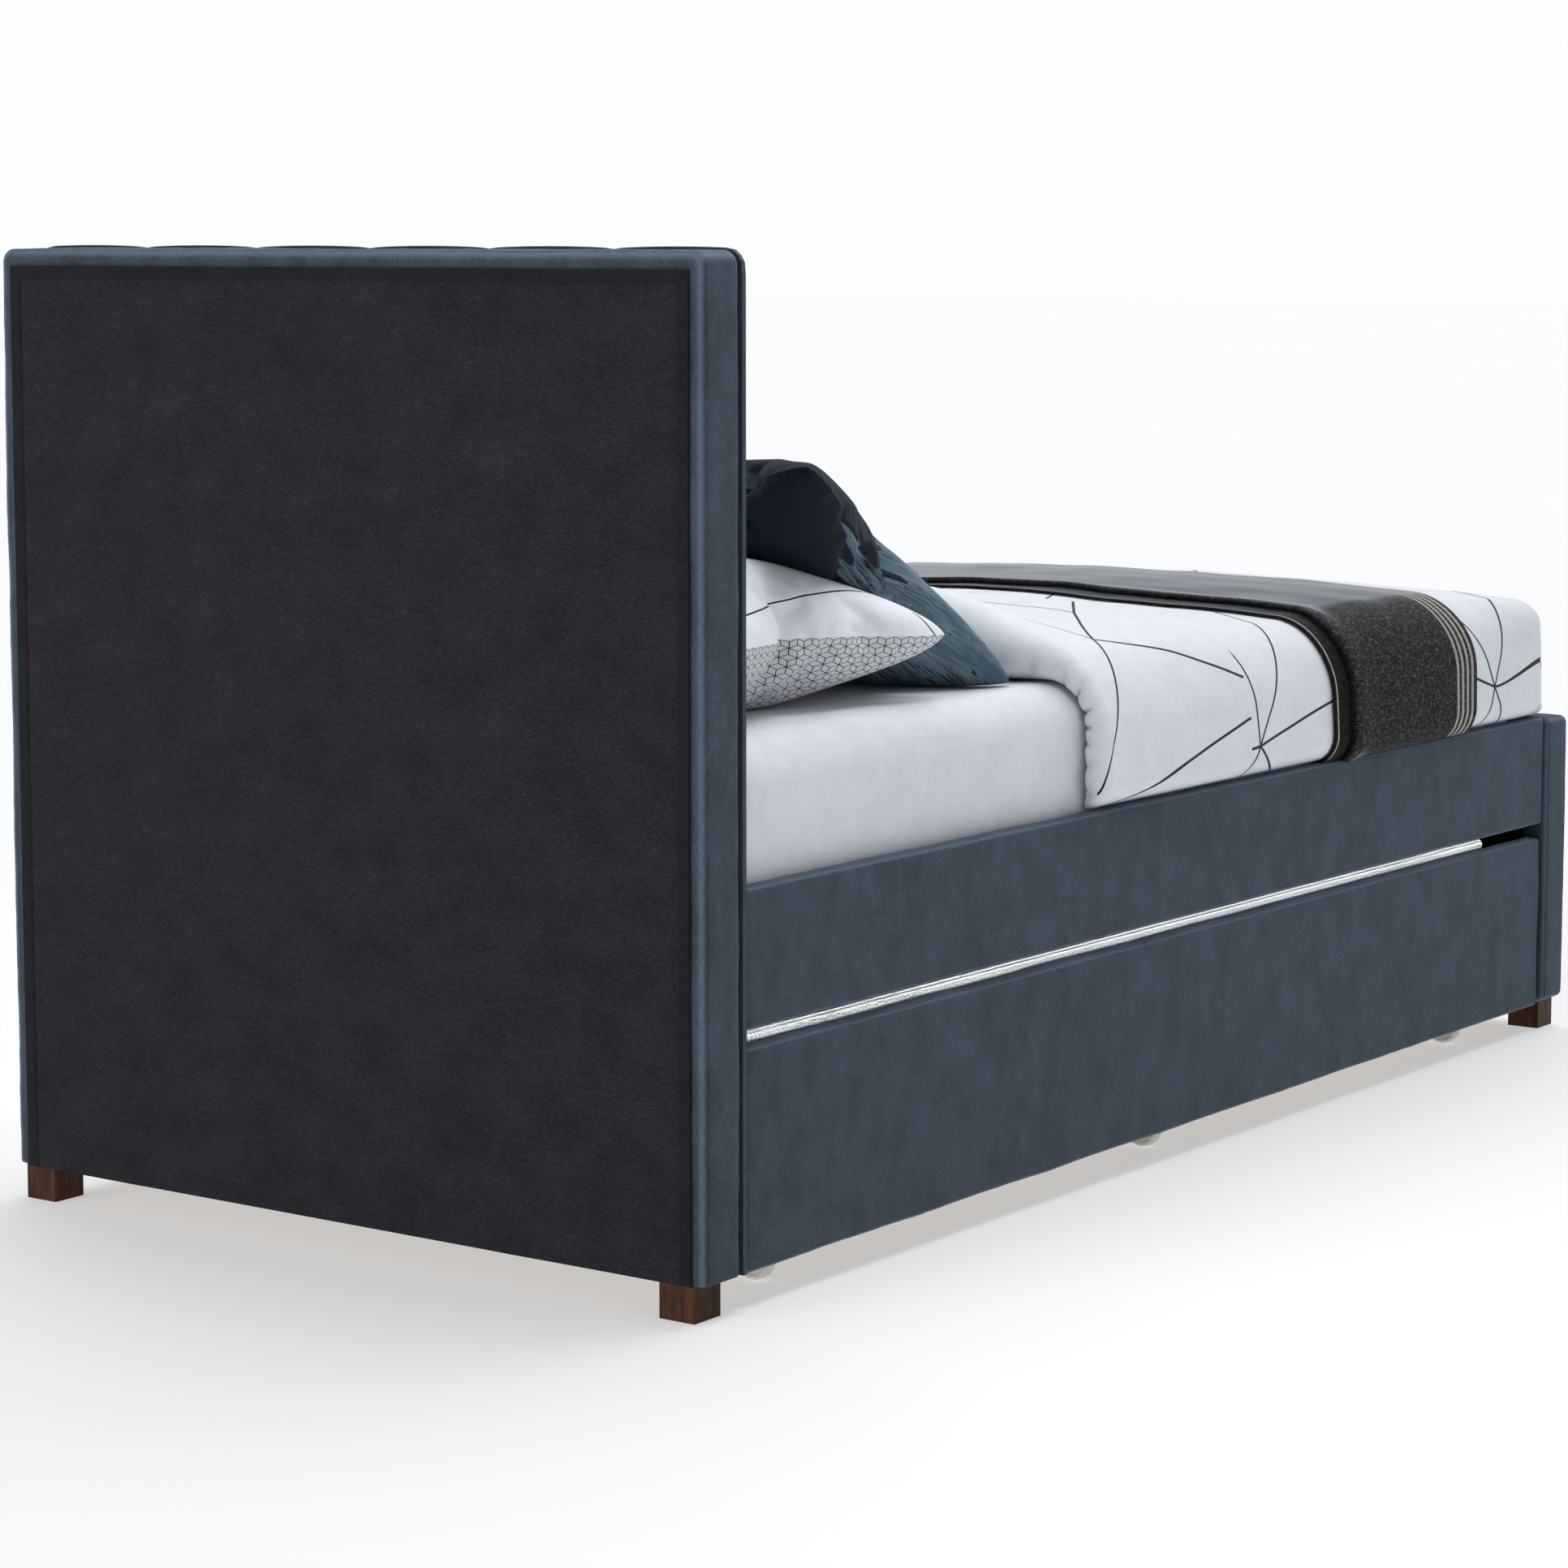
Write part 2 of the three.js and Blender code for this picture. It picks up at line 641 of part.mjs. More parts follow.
function buildRails() {
  for (const [name, side] of [["near", -1], ["far", 1]]) {
    const outerY = side * (BED_WIDTH / 2 - RAIL_INSET);
    const span = [outerY, -side, RAIL_BOTTOM, RAIL_TOP, RAIL_HEAD, RAIL_FOOT];
    addPiece(bed, `rail_${name}_core`, railCore(...span), BOARD);
    addPiece(bed, `rail_${name}_cover`, railCover(...span), UPHOLSTERY);
    addPiece(bed, `rail_${name}_bracket_head`, railBracket(RAIL_HEAD, 1, side), STEEL);
    addPiece(bed, `rail_${name}_bracket_foot`, railBracket(RAIL_FOOT, -1, side), STEEL);
    addPiece(bed, `ledger_${name}`, ledger(side), BOARD);
  }
}

function buildSlats() {
  addPiece(bed, "centre_beam", centreBeam(), BOARD);
  for (let i = 0; i < SLAT_COUNT; i++) {
    addPiece(bed, `slat_${String(i + 1).padStart(2, "0")}`, slat(i), BOARD);
  }
}

function buildLegs() {
  const headX = HEAD + 4 + LEG_SIDE / 2;
  const footX = FOOT - 4 - LEG_SIDE / 2;
  const y = BED_WIDTH / 2 - 15 - LEG_SIDE / 2;
  addPiece(bed, "leg_head_near", leg(headX, -y), WALNUT);
  addPiece(bed, "leg_head_far", leg(headX, y), WALNUT);
  addPiece(bed, "leg_foot_near", leg(footX, -y), WALNUT);
  addPiece(bed, "leg_foot_far", leg(footX, y), WALNUT);
}

function buildBedding() {
  addPiece(bed, "mattress", mattressShape(SHEET + TOUCH_GAP), WHITE_CLOTH);
  addPiece(bed, "fitted_sheet", fittedSheet(), WHITE_CLOTH);
  addPiece(bed, "duvet", duvet(), WHITE_CLOTH);
  addPiece(bed, "throw_blanket", throwBlanket(), THROW_CLOTH);
  addPiece(bed, "pillow_white", whitePillow(), WHITE_CLOTH);
  addPiece(bed, "pillow_navy", navyPillow(), NAVY_CLOTH);
}

function buildTrundle() {
  const group = new THREE.Group();
  const span = [TRUNDLE_FRONT, 1, TRUNDLE_BOTTOM, TRUNDLE_TOP, TRUNDLE_HEAD, TRUNDLE_FOOT];
  addPiece(group, "trundle_front_core", railCore(...span), BOARD);
  addPiece(group, "trundle_front_cover", railCover(...span), UPHOLSTERY);
  addPiece(group, "trundle_back_board", trundleBackBoard(), BOARD);
  addPiece(group, "trundle_end_head", trundleEnd(TRUNDLE_HEAD, 1), BOARD);
  addPiece(group, "trundle_end_foot", trundleEnd(TRUNDLE_FOOT, -1), BOARD);
  addPiece(group, "trundle_centre_rail", trundleRail(0, 30), BOARD);
  addPiece(group, "trundle_caster_rail_front", trundleRail(NEAR + WHEEL_ROW_INSET, 60), BOARD);
  addPiece(group, "trundle_caster_rail_back", trundleRail(FAR - WHEEL_ROW_INSET, 60), BOARD);
  addPiece(group, "trundle_slat_roll", trundleSlatRoll(), BOARD);
  addPiece(group, "trundle_mattress", trundleMattress(), KNIT);
  bed.add(group);
}

function buildCasters() {
  const rows = [["front", NEAR + WHEEL_ROW_INSET], ["back", FAR - WHEEL_ROW_INSET]];
  for (const [row, y] of rows) {
    WHEEL_POSITIONS.forEach((fromHead, i) => {
      const corner = new THREE.Group();
      corner.position.set(HEAD + fromHead, y, 0);
      addPiece(corner, `caster_bracket_${row}_${i + 1}`, casterBracket(), STEEL);
      const wheel = addPiece(corner, `caster_wheel_${row}_${i + 1}`, casterWheel(), WHITE_PLASTIC);
      wheel.position.z = WHEEL_RADIUS;
      bed.add(corner);
    });
  }
}

buildHeadboard();
buildFootboard();
buildRails();
buildSlats();
buildLegs();
buildBedding();
buildTrundle();
buildCasters();

export default bed;
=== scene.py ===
"""Looks for the trundle bed: upholstery, bedding, wood and casters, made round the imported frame.

Metres, +Z up, the origin on the floor under the middle of the bed. The headboard is at -X, the trundle's
side is -Y. Places come from the frame. Distances along the bed run from the back of the headboard.
"""

import math

import bmesh
import bpy
import numpy as np
from mathutils import Matrix, Vector
from mathutils.bvhtree import BVHTree


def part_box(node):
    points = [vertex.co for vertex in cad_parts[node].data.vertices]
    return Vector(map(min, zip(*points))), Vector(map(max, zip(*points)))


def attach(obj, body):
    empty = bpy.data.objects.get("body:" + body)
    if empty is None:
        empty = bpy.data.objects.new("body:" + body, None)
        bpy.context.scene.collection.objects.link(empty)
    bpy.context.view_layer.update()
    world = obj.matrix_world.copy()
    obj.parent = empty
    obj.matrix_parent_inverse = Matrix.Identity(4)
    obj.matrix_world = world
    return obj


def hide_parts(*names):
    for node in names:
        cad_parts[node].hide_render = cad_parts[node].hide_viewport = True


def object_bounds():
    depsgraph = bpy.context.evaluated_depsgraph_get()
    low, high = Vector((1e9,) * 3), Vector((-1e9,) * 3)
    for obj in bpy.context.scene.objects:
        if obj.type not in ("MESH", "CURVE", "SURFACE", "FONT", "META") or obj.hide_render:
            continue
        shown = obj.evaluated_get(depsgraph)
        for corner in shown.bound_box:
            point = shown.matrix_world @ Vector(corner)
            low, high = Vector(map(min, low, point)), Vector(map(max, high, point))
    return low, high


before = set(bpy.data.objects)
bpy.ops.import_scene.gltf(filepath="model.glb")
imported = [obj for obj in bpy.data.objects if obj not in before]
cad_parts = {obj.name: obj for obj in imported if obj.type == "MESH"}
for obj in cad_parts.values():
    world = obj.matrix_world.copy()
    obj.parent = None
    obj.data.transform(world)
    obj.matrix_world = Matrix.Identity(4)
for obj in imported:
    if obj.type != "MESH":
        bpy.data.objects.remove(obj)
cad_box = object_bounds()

# ---------- places taken from the frame ----------
BED_LOW = cad_box[0]
HEAD_X = BED_LOW.x
MATTRESS_LOW, MATTRESS_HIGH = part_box("mattress")
SHEET_LOW, SHEET_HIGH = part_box("fitted_sheet")
DUVET_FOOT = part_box("duvet")[1].x
RAIL_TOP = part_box("rail_near_cover")[1].z

# ---------- bedding, driving sizes ----------
DUVET_HALF = 0.5165  # half the width over the sides
DUVET_TOP = 0.664  # in the middle of the bed, one layer
DUVET_CROWN = 0.07  # how fast the top falls away from the middle
FOOT_SINK = 0.014  # how much lower the top lies at the foot end
SHOULDER_Y = 0.4195  # where the top turns into the side
SIDE_TOP = 0.55  # the sides hang straight from here
SIDE_LOW = 0.50  # down to here, and curl in below it
HEM = RAIL_TOP + 0.0016  # height of the hem, just clear of the rail
HEM_Y = 0.4895  # how far out the tucked-in hem lies
BELLY = 0.002  # how far the sides stand out below the shoulders
FLAP_END = 1.165  # the folded-back edge, from the head
EDGE_ROUND = 0.012  # round of that edge
FOOT_ROUND = 0.020  # round between the top and the foot end
FOOT_BULGE = 0.040  # how far the foot end stands out
ROLL_CENTRE = 0.805  # middle of the roll where the duvet turns back, from the head
FLAP_LIFT = 0.024  # how far the folded-back part lies above the single layer
ROLL_LIFT = 0.068  # the same at the roll
THROW_HEM = 1.398  # hem of the throw's under layer, from the head
THROW_TOP_EDGE = 1.441  # hem of its upper layer
THROW_FOLD = 1.808  # its folded edge
WHITE_PILLOW = (0.492, 0.690, 0.204)  # along the bed, across it, thickness
NAVY_PILLOW = (0.500, 0.680, 0.192)
CASE_EASE = 1.07  # the flat case over the filled pillow
MATTRESS_ROUND = 0.055  # round of the sheeted mattress's edges


# ---------- mesh helpers ----------
def grid_quads(rows, columns, wrap_rows=False):
    """Quads between a grid's points, which are stored row after row."""
    last = rows if wrap_rows else rows - 1
    i, j = np.meshgrid(np.arange(last), np.arange(columns - 1), indexing="ij")
    below = (i * columns + j).ravel()
    above = (((i + 1) % rows) * columns + j).ravel()
    return np.stack([below, above, above + 1, below + 1], axis=1)


def make_piece(name, points, faces, body, materials, uv=None, face_material=None):
    """A smooth mesh that rides on a body. uv holds one pair for each corner of each face."""
    mesh = bpy.data.meshes.new(name)
    mesh.from_pydata(np.asarray(points, float).tolist(), [], np.asarray(faces).tolist())
    for material in materials:
        mesh.materials.append(material)
    if uv is not None:
        layer = mesh.uv_layers.new(name="cloth")
        layer.data.foreach_set("uv", np.asarray(uv, np.float32).ravel())
    if face_material is not None:
        mesh.polygons.foreach_set("material_index", np.asarray(face_material, np.int32))
    mesh.polygons.foreach_set("use_smooth", np.ones(len(mesh.polygons), bool))
    piece = bpy.data.objects.new(name, mesh)
    bpy.context.scene.collection.objects.link(piece)
    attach(piece, body)
    return piece


def store_values(piece, name, values):
    """One number for each point of a piece, for its material to read."""
    attribute = piece.data.attributes.new(name, "FLOAT", "POINT")
    attribute.data.foreach_set("value", values.astype(np.float32))


def ripples(points, wavelength, seed, waves=14):
    """Smooth noise from -1 to 1: waves of one length that run in many directions."""
    random = np.random.default_rng(seed)
    directions = random.normal(size=(waves, 3))
    directions /= np.linalg.norm(directions, axis=1)[:, None]
    lengths = wavelength * random.uniform(0.7, 1.5, waves)
    phases = random.uniform(0, 2 * np.pi, waves)
    angles = points @ (directions * (2 * np.pi / lengths)[:, None]).T + phases
    return np.sin(angles).sum(axis=1) / math.sqrt(2 * waves)


def smooth_step(value, low, high):
    """0 below low, 1 above high, smooth between."""
    t = np.clip((value - low) / (high - low), 0, 1)
    return t * t * (3 - 2 * t)


def rimmed(low, high, radius, spacing, rim, extra):
    """Coordinates from low to high, close together in the rounded rims, with extra ones between."""
    edge = radius * (1 - np.tan(np.linspace(math.pi / 4, 0, rim)))
    count = max(2, round((high - low - 2 * radius) / spacing) + 1)
    flat = np.linspace(low + radius, high - radius, count)
    return np.unique(np.round(np.concatenate([low + edge, flat, high - edge, extra]), 6))


def soft_box(low, high, radius, spacing=0.012, rim=5, extra=((), (), ())):
    """Points, their outward normals and quads of a box whose edges are rounded by radius (x, y, z)."""
    low, high, radius = (np.array(v, float) for v in (low, high, radius))
    coordinates = [rimmed(low[a], high[a], radius[a], spacing, rim, extra[a]) for a in range(3)]
    points, faces, start = [], [], 0
    for axis in range(3):
        u, v = (axis + 1) % 3, (axis + 2) % 3
        for side in (0, 1):
            gu, gv = np.meshgrid(coordinates[u], coordinates[v], indexing="ij")
            face = np.empty((gu.size, 3))
            face[:, u] = gu.ravel()
            face[:, v] = gv.ravel()
            face[:, axis] = high[axis] if side else low[axis]
            quads = grid_quads(*gu.shape)
            points.append(face)
            faces.append((quads if side else quads[:, ::-1]) + start)
            start += gu.size
    points, faces = np.concatenate(points), np.concatenate(faces)
    _, first, where = np.unique(np.round(points, 6), axis=0, return_index=True, return_inverse=True)
    points, faces = points[first], where.ravel()[faces]
    core = np.clip(points, low + radius, high - radius)
    toward = (points - core) / radius
    normals = toward / np.linalg.norm(toward, axis=1)[:, None]
    return core + normals * radius, normals, faces


# ---------- material helper ----------
class Finish:
    """One procedural material, built a node at a time."""

    def __init__(self, name, roughness, specular=0.3, sheen=0.0, sheen_tint=(1, 1, 1), sheen_roughness=0.5):
        self.material = bpy.data.materials.new(name)
        self.material.use_nodes = True
        self.tree = self.material.node_tree
        self.shader = self.tree.nodes["Principled BSDF"]
        self.shader.inputs["Roughness"].default_value = roughness
        self.shader.inputs["Specular IOR Level"].default_value = specular
        self.shader.inputs["Sheen Weight"].default_value = sheen
        self.shader.inputs["Sheen Roughness"].default_value = sheen_roughness
        self.shader.inputs["Sheen Tint"].default_value = (*sheen_tint, 1)

    def add(self, kind, inputs, **settings):
        """A node with its settings; each input is given a value or linked to a socket."""
        node = self.tree.nodes.new(kind)
        for key, value in settings.items():
            setattr(node, key, value)
        for key, value in inputs.items():
            if isinstance(value, bpy.types.NodeSocket):
                self.tree.links.new(value, node.inputs[key])
            else:
                node.inputs[key].default_value = value
        return node

    def vector(self, operation, *inputs):
        """The result of vector arithmetic: a vector, or a number for a length or a dot product."""
        node = self.add("ShaderNodeVectorMath", dict(enumerate(inputs)), operation=operation)
        return node.outputs["Value" if operation in ("LENGTH", "DOT_PRODUCT") else "Vector"]

    def place(self, scale=(1, 1, 1)):
        """The surface point in metres, stretched by scale."""
        return self.vector("MULTIPLY", self.add("ShaderNodeTexCoord", {}).outputs["Object"], scale)

    def cloth(self, scale=(1, 1, 1)):
        """The cloth's own coordinates in metres, stretched by scale."""
        return self.vector("MULTIPLY", self.add("ShaderNodeUVMap", {}, uv_map="cloth").outputs[0], scale)

    def stored(self, name):
        """The number that store_values kept under this name."""
        return self.add("ShaderNodeAttribute", {}, attribute_name=name).outputs["Fac"]

    def math(self, operation, a, b=0.0, c=0.0, clamp=False):
        """The result of arithmetic on numbers or sockets."""
        inputs = {0: a, 1: b, 2: c}
        return self.add("ShaderNodeMath", inputs, operation=operation, use_clamp=clamp).outputs[0]

    def dot(self, vector, direction):
        return self.vector("DOT_PRODUCT", vector, direction)

    def parts(self, vector):
        """The vector's x, y and z."""
        return self.add("ShaderNodeSeparateXYZ", {0: vector}).outputs

    def noise(self, vector, scale=1.0, detail=3.0, roughness=0.55):
        inputs = {"Vector": vector, "Scale": scale, "Detail": detail, "Roughness": roughness}
        return self.add("ShaderNodeTexNoise", inputs).outputs[0]

    def mix(self, kind, factor, first, second):
        """Goes from first to second while the factor goes from 0 to 1."""
        one, two, result = {"FLOAT": (2, 3, 0), "VECTOR": (4, 5, 1), "RGBA": (6, 7, 2)}[kind]
        inputs = {0: factor, one: first, two: second}
        return self.add("ShaderNodeMix", inputs, data_type=kind).outputs[result]

    def blend(self, factor, *colours):
        """Mixes two colours, each given as numbers or as a socket."""
        ready = [c if isinstance(c, bpy.types.NodeSocket) else (*c, 1) for c in colours]
        return self.mix("RGBA", factor, *ready)

    def largest(self, values):
        """The largest of a list of values."""
        result = values[0]
        for value in values[1:]:
            result = self.math("MAXIMUM", result, value)
        return result

    def steps(self, value, low, high):
        """0 below low, 1 above high, smooth between."""
        inputs = {"Value": value, "From Min": low, "From Max": high}
        return self.add("ShaderNodeMapRange", inputs, interpolation_type="SMOOTHSTEP").outputs[0]

    def bump(self, height, distance, strength=1.0):
        """Raises the surface where height is large; distance is the full depth in metres."""
        inputs = {"Height": height, "Distance": distance, "Strength": strength}
        normal = self.add("ShaderNodeBump", inputs).outputs[0]
        self.tree.links.new(normal, self.shader.inputs["Normal"])

    def colour(self, socket):
        self.tree.links.new(socket, self.shader.inputs["Base Color"])

    def roughness(self, value, low, high):
        """Lets the gloss wander: roughness goes from low to high with value."""
        inputs = {"Value": value, "To Min": low, "To Max": high}
        mapped = self.add("ShaderNodeMapRange", inputs).outputs[0]
        self.tree.links.new(mapped, self.shader.inputs["Roughness"])


# ---------- materials ----------
def upholstery_cloth():
    """Brushed suede cloth: cloudy blue grey, a fine nap, and a pale blue highlight painted on its rounded
    edges.
    """
    finish = Finish("upholstery_cloth", 0.85, 0.2, sheen=0.3, sheen_tint=(0.55, 0.68, 0.9))
    clouds = finish.noise(finish.place((1, 1, 0.7)), 24, 5, 0.6)
    nap = finish.noise(finish.place((1, 1, 0.6)), 330, 3, 0.7)
    tone = finish.math("MULTIPLY_ADD", nap, 0.5, finish.math("MULTIPLY", clouds, 0.6))
    mottle = finish.steps(tone, 0.40, 0.70)
    face = finish.blend(mottle, (0.024, 0.033, 0.043), (0.050, 0.068, 0.089))
    # Painted highlight: the rounded edges, which the stored value marks, are blended towards pale blue as if
    # they caught the light.
    painted_highlight = finish.stored("wear")
    painted_highlight = finish.math("MULTIPLY", painted_highlight, finish.math("MULTIPLY_ADD", nap, 0.8, 0.3))
    finish.colour(finish.blend(painted_highlight, face, (0.115, 0.155, 0.215)))
    finish.roughness(clouds, 0.75, 0.95)
    weave = finish.noise(finish.place(), 900, 2)
    finish.bump(finish.math("MULTIPLY_ADD", clouds, 0.6, weave), 0.0005, 0.5)
    return finish.material


def back_felt_cloth():
    """Black non-woven cover with pale fibres that run across the bed, and its hem painted darker as shade."""
    finish = Finish("back_felt_cloth", 0.9, 0.10, sheen=0.09, sheen_tint=(0.6, 0.65, 0.8))
    fibres = finish.noise(finish.place((60, 200, 700)), 1, 4, 0.8)
    specks = finish.noise(finish.place((300, 300, 420)), 1, 3, 0.7)
    clouds = finish.noise(finish.place((14, 14, 20)), 1, 3, 0.55)
    tone = finish.math("MULTIPLY_ADD", clouds, 0.25, finish.math("MULTIPLY", fibres, 0.95))
    tone = finish.math("MULTIPLY_ADD", finish.steps(specks, 0.6, 0.75), 0.32, tone)
    cloth = finish.blend(finish.steps(tone, 0.42, 0.86), (0.0085, 0.009, 0.0105), (0.032, 0.033, 0.038))
    # Painted shade: the folded hem is blended darker, for the way its turned-over nap takes the light.
    hem = finish.stored("hem")
    finish.colour(finish.blend(finish.math("MULTIPLY", hem, 0.5), cloth, (0.006, 0.007, 0.009)))
    finish.bump(fibres, 0.0006, 0.6)
    return finish.material


def board_wood(name, along, dark, light):
    """Plain boards whose grain runs along one axis."""
    finish = Finish(name, 0.6, 0.3)
    stretch = tuple(3.0 if axis == along else 48.0 for axis in range(3))
    grain = finish.noise(finish.place(stretch), 1, 5, 0.65)
    pores = finish.noise(finish.place(tuple(4 * value for value in stretch)), 1.6, 3)
    tone = finish.math("MULTIPLY_ADD", pores, 0.3, finish.math("MULTIPLY", grain, 0.85))
    finish.colour(finish.blend(finish.steps(tone, 0.4, 0.72), dark, light))
    finish.roughness(grain, 0.5, 0.75)
    finish.bump(tone, 0.0004, 0.5)
    return finish.material


def walnut_wood():
    """Dark stained legs: reddish brown, paler along the grain, with a satin coat."""
    finish = Finish("walnut_stain", 0.5, 0.12)
    grain = finish.noise(finish.place((85, 85, 7)), 1, 5, 0.6)
    wear = finish.noise(finish.place(), 35, 3)
    tone = finish.math("MULTIPLY_ADD", wear, 0.35, finish.math("MULTIPLY", grain, 0.75))
    finish.colour(finish.blend(finish.steps(tone, 0.4, 0.7), (0.026, 0.010, 0.004), (0.085, 0.034, 0.013)))
    finish.roughness(grain, 0.32, 0.55)
    finish.bump(grain, 0.0003, 0.5)
    return finish.material


def metal(name, colour, metalness, rough):
    """Painted or plated metal, darker in soft blotches."""
    finish = Finish(name, rough, 0.5)
    finish.shader.inputs["Metallic"].default_value = metalness
    blotches = finish.noise(finish.place(), 60, 4)
    dark = tuple(0.7 * value for value in colour)
    finish.colour(finish.blend(finish.steps(blotches, 0.35, 0.65), dark, colour))
    finish.roughness(finish.noise(finish.place(), 220, 3), rough - 0.1, rough + 0.12)
    finish.bump(finish.noise(finish.place(), 500, 2), 0.0002, 0.4)
    return finish.material


def nylon():
    """Moulded white wheels, a little scuffed."""
    finish = Finish("caster_nylon", 0.45, 0.45)
    scuffs = finish.noise(finish.place(), 140, 5, 0.7)
    finish.colour(finish.blend(finish.steps(scuffs, 0.5, 0.75), (0.76, 0.76, 0.73), (0.5, 0.49, 0.46)))
    finish.roughness(scuffs, 0.35, 0.6)
    finish.bump(scuffs, 0.0003, 0.4)
    return finish.material


WHITE_LIGHT = (0.82, 0.84, 0.89)
WHITE_DARK = (0.765, 0.79, 0.85)
INK = (0.006, 0.006, 0.008)
PUCKER_DEPTH = 14.0  # against the depth of the weave


def case_half(size):
    """Half the length and half the width of a pillow's flat case."""
    return size[0] * CASE_EASE / 2, size[1] * CASE_EASE / 2


def seam_puckers(finish, half_length, half_width):
    """Short gathers that run in from a pillowcase's sewn edge and fade out."""
    parts = finish.parts(finish.cloth())
    to_end = finish.math("SUBTRACT", half_length, finish.math("ABSOLUTE", parts[0]))
    to_side = finish.math("SUBTRACT", half_width, finish.math("ABSOLUTE", parts[1]))
    along_side = finish.math("LESS_THAN", to_side, to_end)
    across_folds = finish.noise(finish.cloth((12, 75, 0)), 1, 2, 0.5)
    along_folds = finish.noise(finish.cloth((75, 12, 0)), 1, 2, 0.5)
    level = finish.mix("FLOAT", along_side, across_folds, along_folds)
    near = finish.steps(finish.math("MINIMUM", to_end, to_side), 0.055, 0.0)
    return finish.math("MULTIPLY", level, near)


def cotton(name, light=WHITE_LIGHT, dark=WHITE_DARK, case=None):
    """White percale: faint clouds, a fine square weave, and gathers along the seams of a pillowcase."""
    finish = Finish(name, 0.85, 0.2, sheen=0.2)
    clouds = finish.noise(finish.place(), 26, 5, 0.65)
    threads = finish.noise(finish.place((900, 900, 120)), 1, 2)
    cross_threads = finish.noise(finish.place((120, 900, 900)), 1, 2)
    weave = finish.math("ADD", threads, cross_threads)
    white = finish.blend(finish.steps(clouds, 0.3, 0.7), dark, light)
    height = finish.math("MULTIPLY_ADD", clouds, 0.7, weave)
    if case:
        height = finish.math("MULTIPLY_ADD", seam_puckers(finish, *case), PUCKER_DEPTH, height)
    finish.bump(height, 0.0006, 0.4)
    finish.roughness(clouds, 0.78, 0.92)
    return finish, white


def printed_line(finish, cloth, start, end, width):
    """1 on the straight line between two points of the cloth, and 0 elsewhere."""
    start, run = np.array(start), np.array(end) - np.array(start)
    length = np.linalg.norm(run)
    along = run / length**2
    across = np.array((-run[1], run[0])) / length
    fraction = finish.math("SUBTRACT", finish.dot(cloth, (*along, 0)), start @ along)
    offset = finish.math("SUBTRACT", finish.dot(cloth, (*across, 0)), start @ across)
    inside = finish.math("COMPARE", fraction, 0.5, 0.5)
    near = finish.math("COMPARE", offset, 0.0, width / 2)
    return finish.math("MULTIPLY", inside, near)


def printed_lines(finish, lines, width):
    """1 on every line of a print, which is a list of pairs of cloth points."""
    cloth = finish.cloth()
    return finish.largest([printed_line(finish, cloth, start, end, width) for start, end in lines])


# The flap shows the cloth's other end, so its lines sit 2 m back along the cloth.
FLAP_SHIFT = -2.0


def net_lines(net, shift=0.0):
    """Pairs of cloth points for a net that gives each node's arms, moved along the cloth by shift."""
    return [((x + shift, y), (u + shift, v)) for (x, y), arms in net.items() for u, v in arms]


def duvet_lines():
    """The printed net on the duvet: nodes with about six straight arms, on the top and on the flap."""
    c, d, e, f = (1.200, 0.620), (1.877, 0.603), (1.46, 0.05), (1.79, 0.10)
    g, h, i = (1.62, -0.30), (1.24, -0.56), (1.90, -0.55)
    top = {
        c: [(1.175, 0.45), (1.40, 0.335), (1.46, 0.567), (1.13, 0.625), (1.14, 0.72), (1.33, 0.72)],
        d: [(1.78, 0.574), (1.79, 0.44), (1.99, 0.39), (2.12, 0.598), (1.82, 0.74), (1.97, 0.74)],
        e: [(1.40, 0.335), (1.10, 0.20), (1.10, -0.15), f, g],
        f: [(1.79, 0.44), (2.09, -0.10), g, i],
        g: [h, i],
        h: [(1.10, -0.40), (1.12, -0.74), (1.34, -0.74), i],
        i: [(2.09, -0.48), (1.78, -0.74), (2.02, -0.74)],
        (1.99, 0.39): [(2.09, 0.20)],
    }
    a, b, j, k = (1.055, 0.325), (0.912, 0.438), (1.075, 0.05), (0.94, -0.42)
    flap = {
        a: [(1.165, 0.255), b, j],
        b: [(1.165, 0.533), (0.76, 0.64), (0.93, 0.15)],
        j: [(1.165, -0.10), (0.80, 0.0), k],
        k: [(1.165, -0.36), (1.165, -0.58), (0.80, -0.48), (0.86, -0.72)],
        (0.80, 0.672): [(1.165, 0.577)],
        (1.165, -0.64): [(0.98, -0.74)],
    }
    return net_lines(top) + net_lines(flap, FLAP_SHIFT)


def duvet_cotton():
    """White percale printed with a net of thin black lines."""
    finish, white = cotton("duvet_cotton_print")
    finish.colour(finish.blend(printed_lines(finish, duvet_lines(), 0.0038), white, INK))
    return finish.material


def sheet_cotton():
    """Plain percale, a little greyer than the duvet."""
    finish, white = cotton("sheet_cotton_percale", (0.80, 0.81, 0.85), (0.745, 0.755, 0.80))
    finish.colour(white)
    return finish.material


def mattress_ticking():
    """White ticking quilted in small diamonds."""
    finish, white = cotton("mattress_ticking")
    diagonal = finish.place((60, 60, 60))
    first = finish.math("SINE", finish.dot(diagonal, (1, 1, 1)))
    second = finish.math("SINE", finish.dot(diagonal, (1, -1, 1)))
    finish.colour(white)
    finish.bump(finish.math("MULTIPLY", first, second), 0.002, 0.6)
    return finish.material


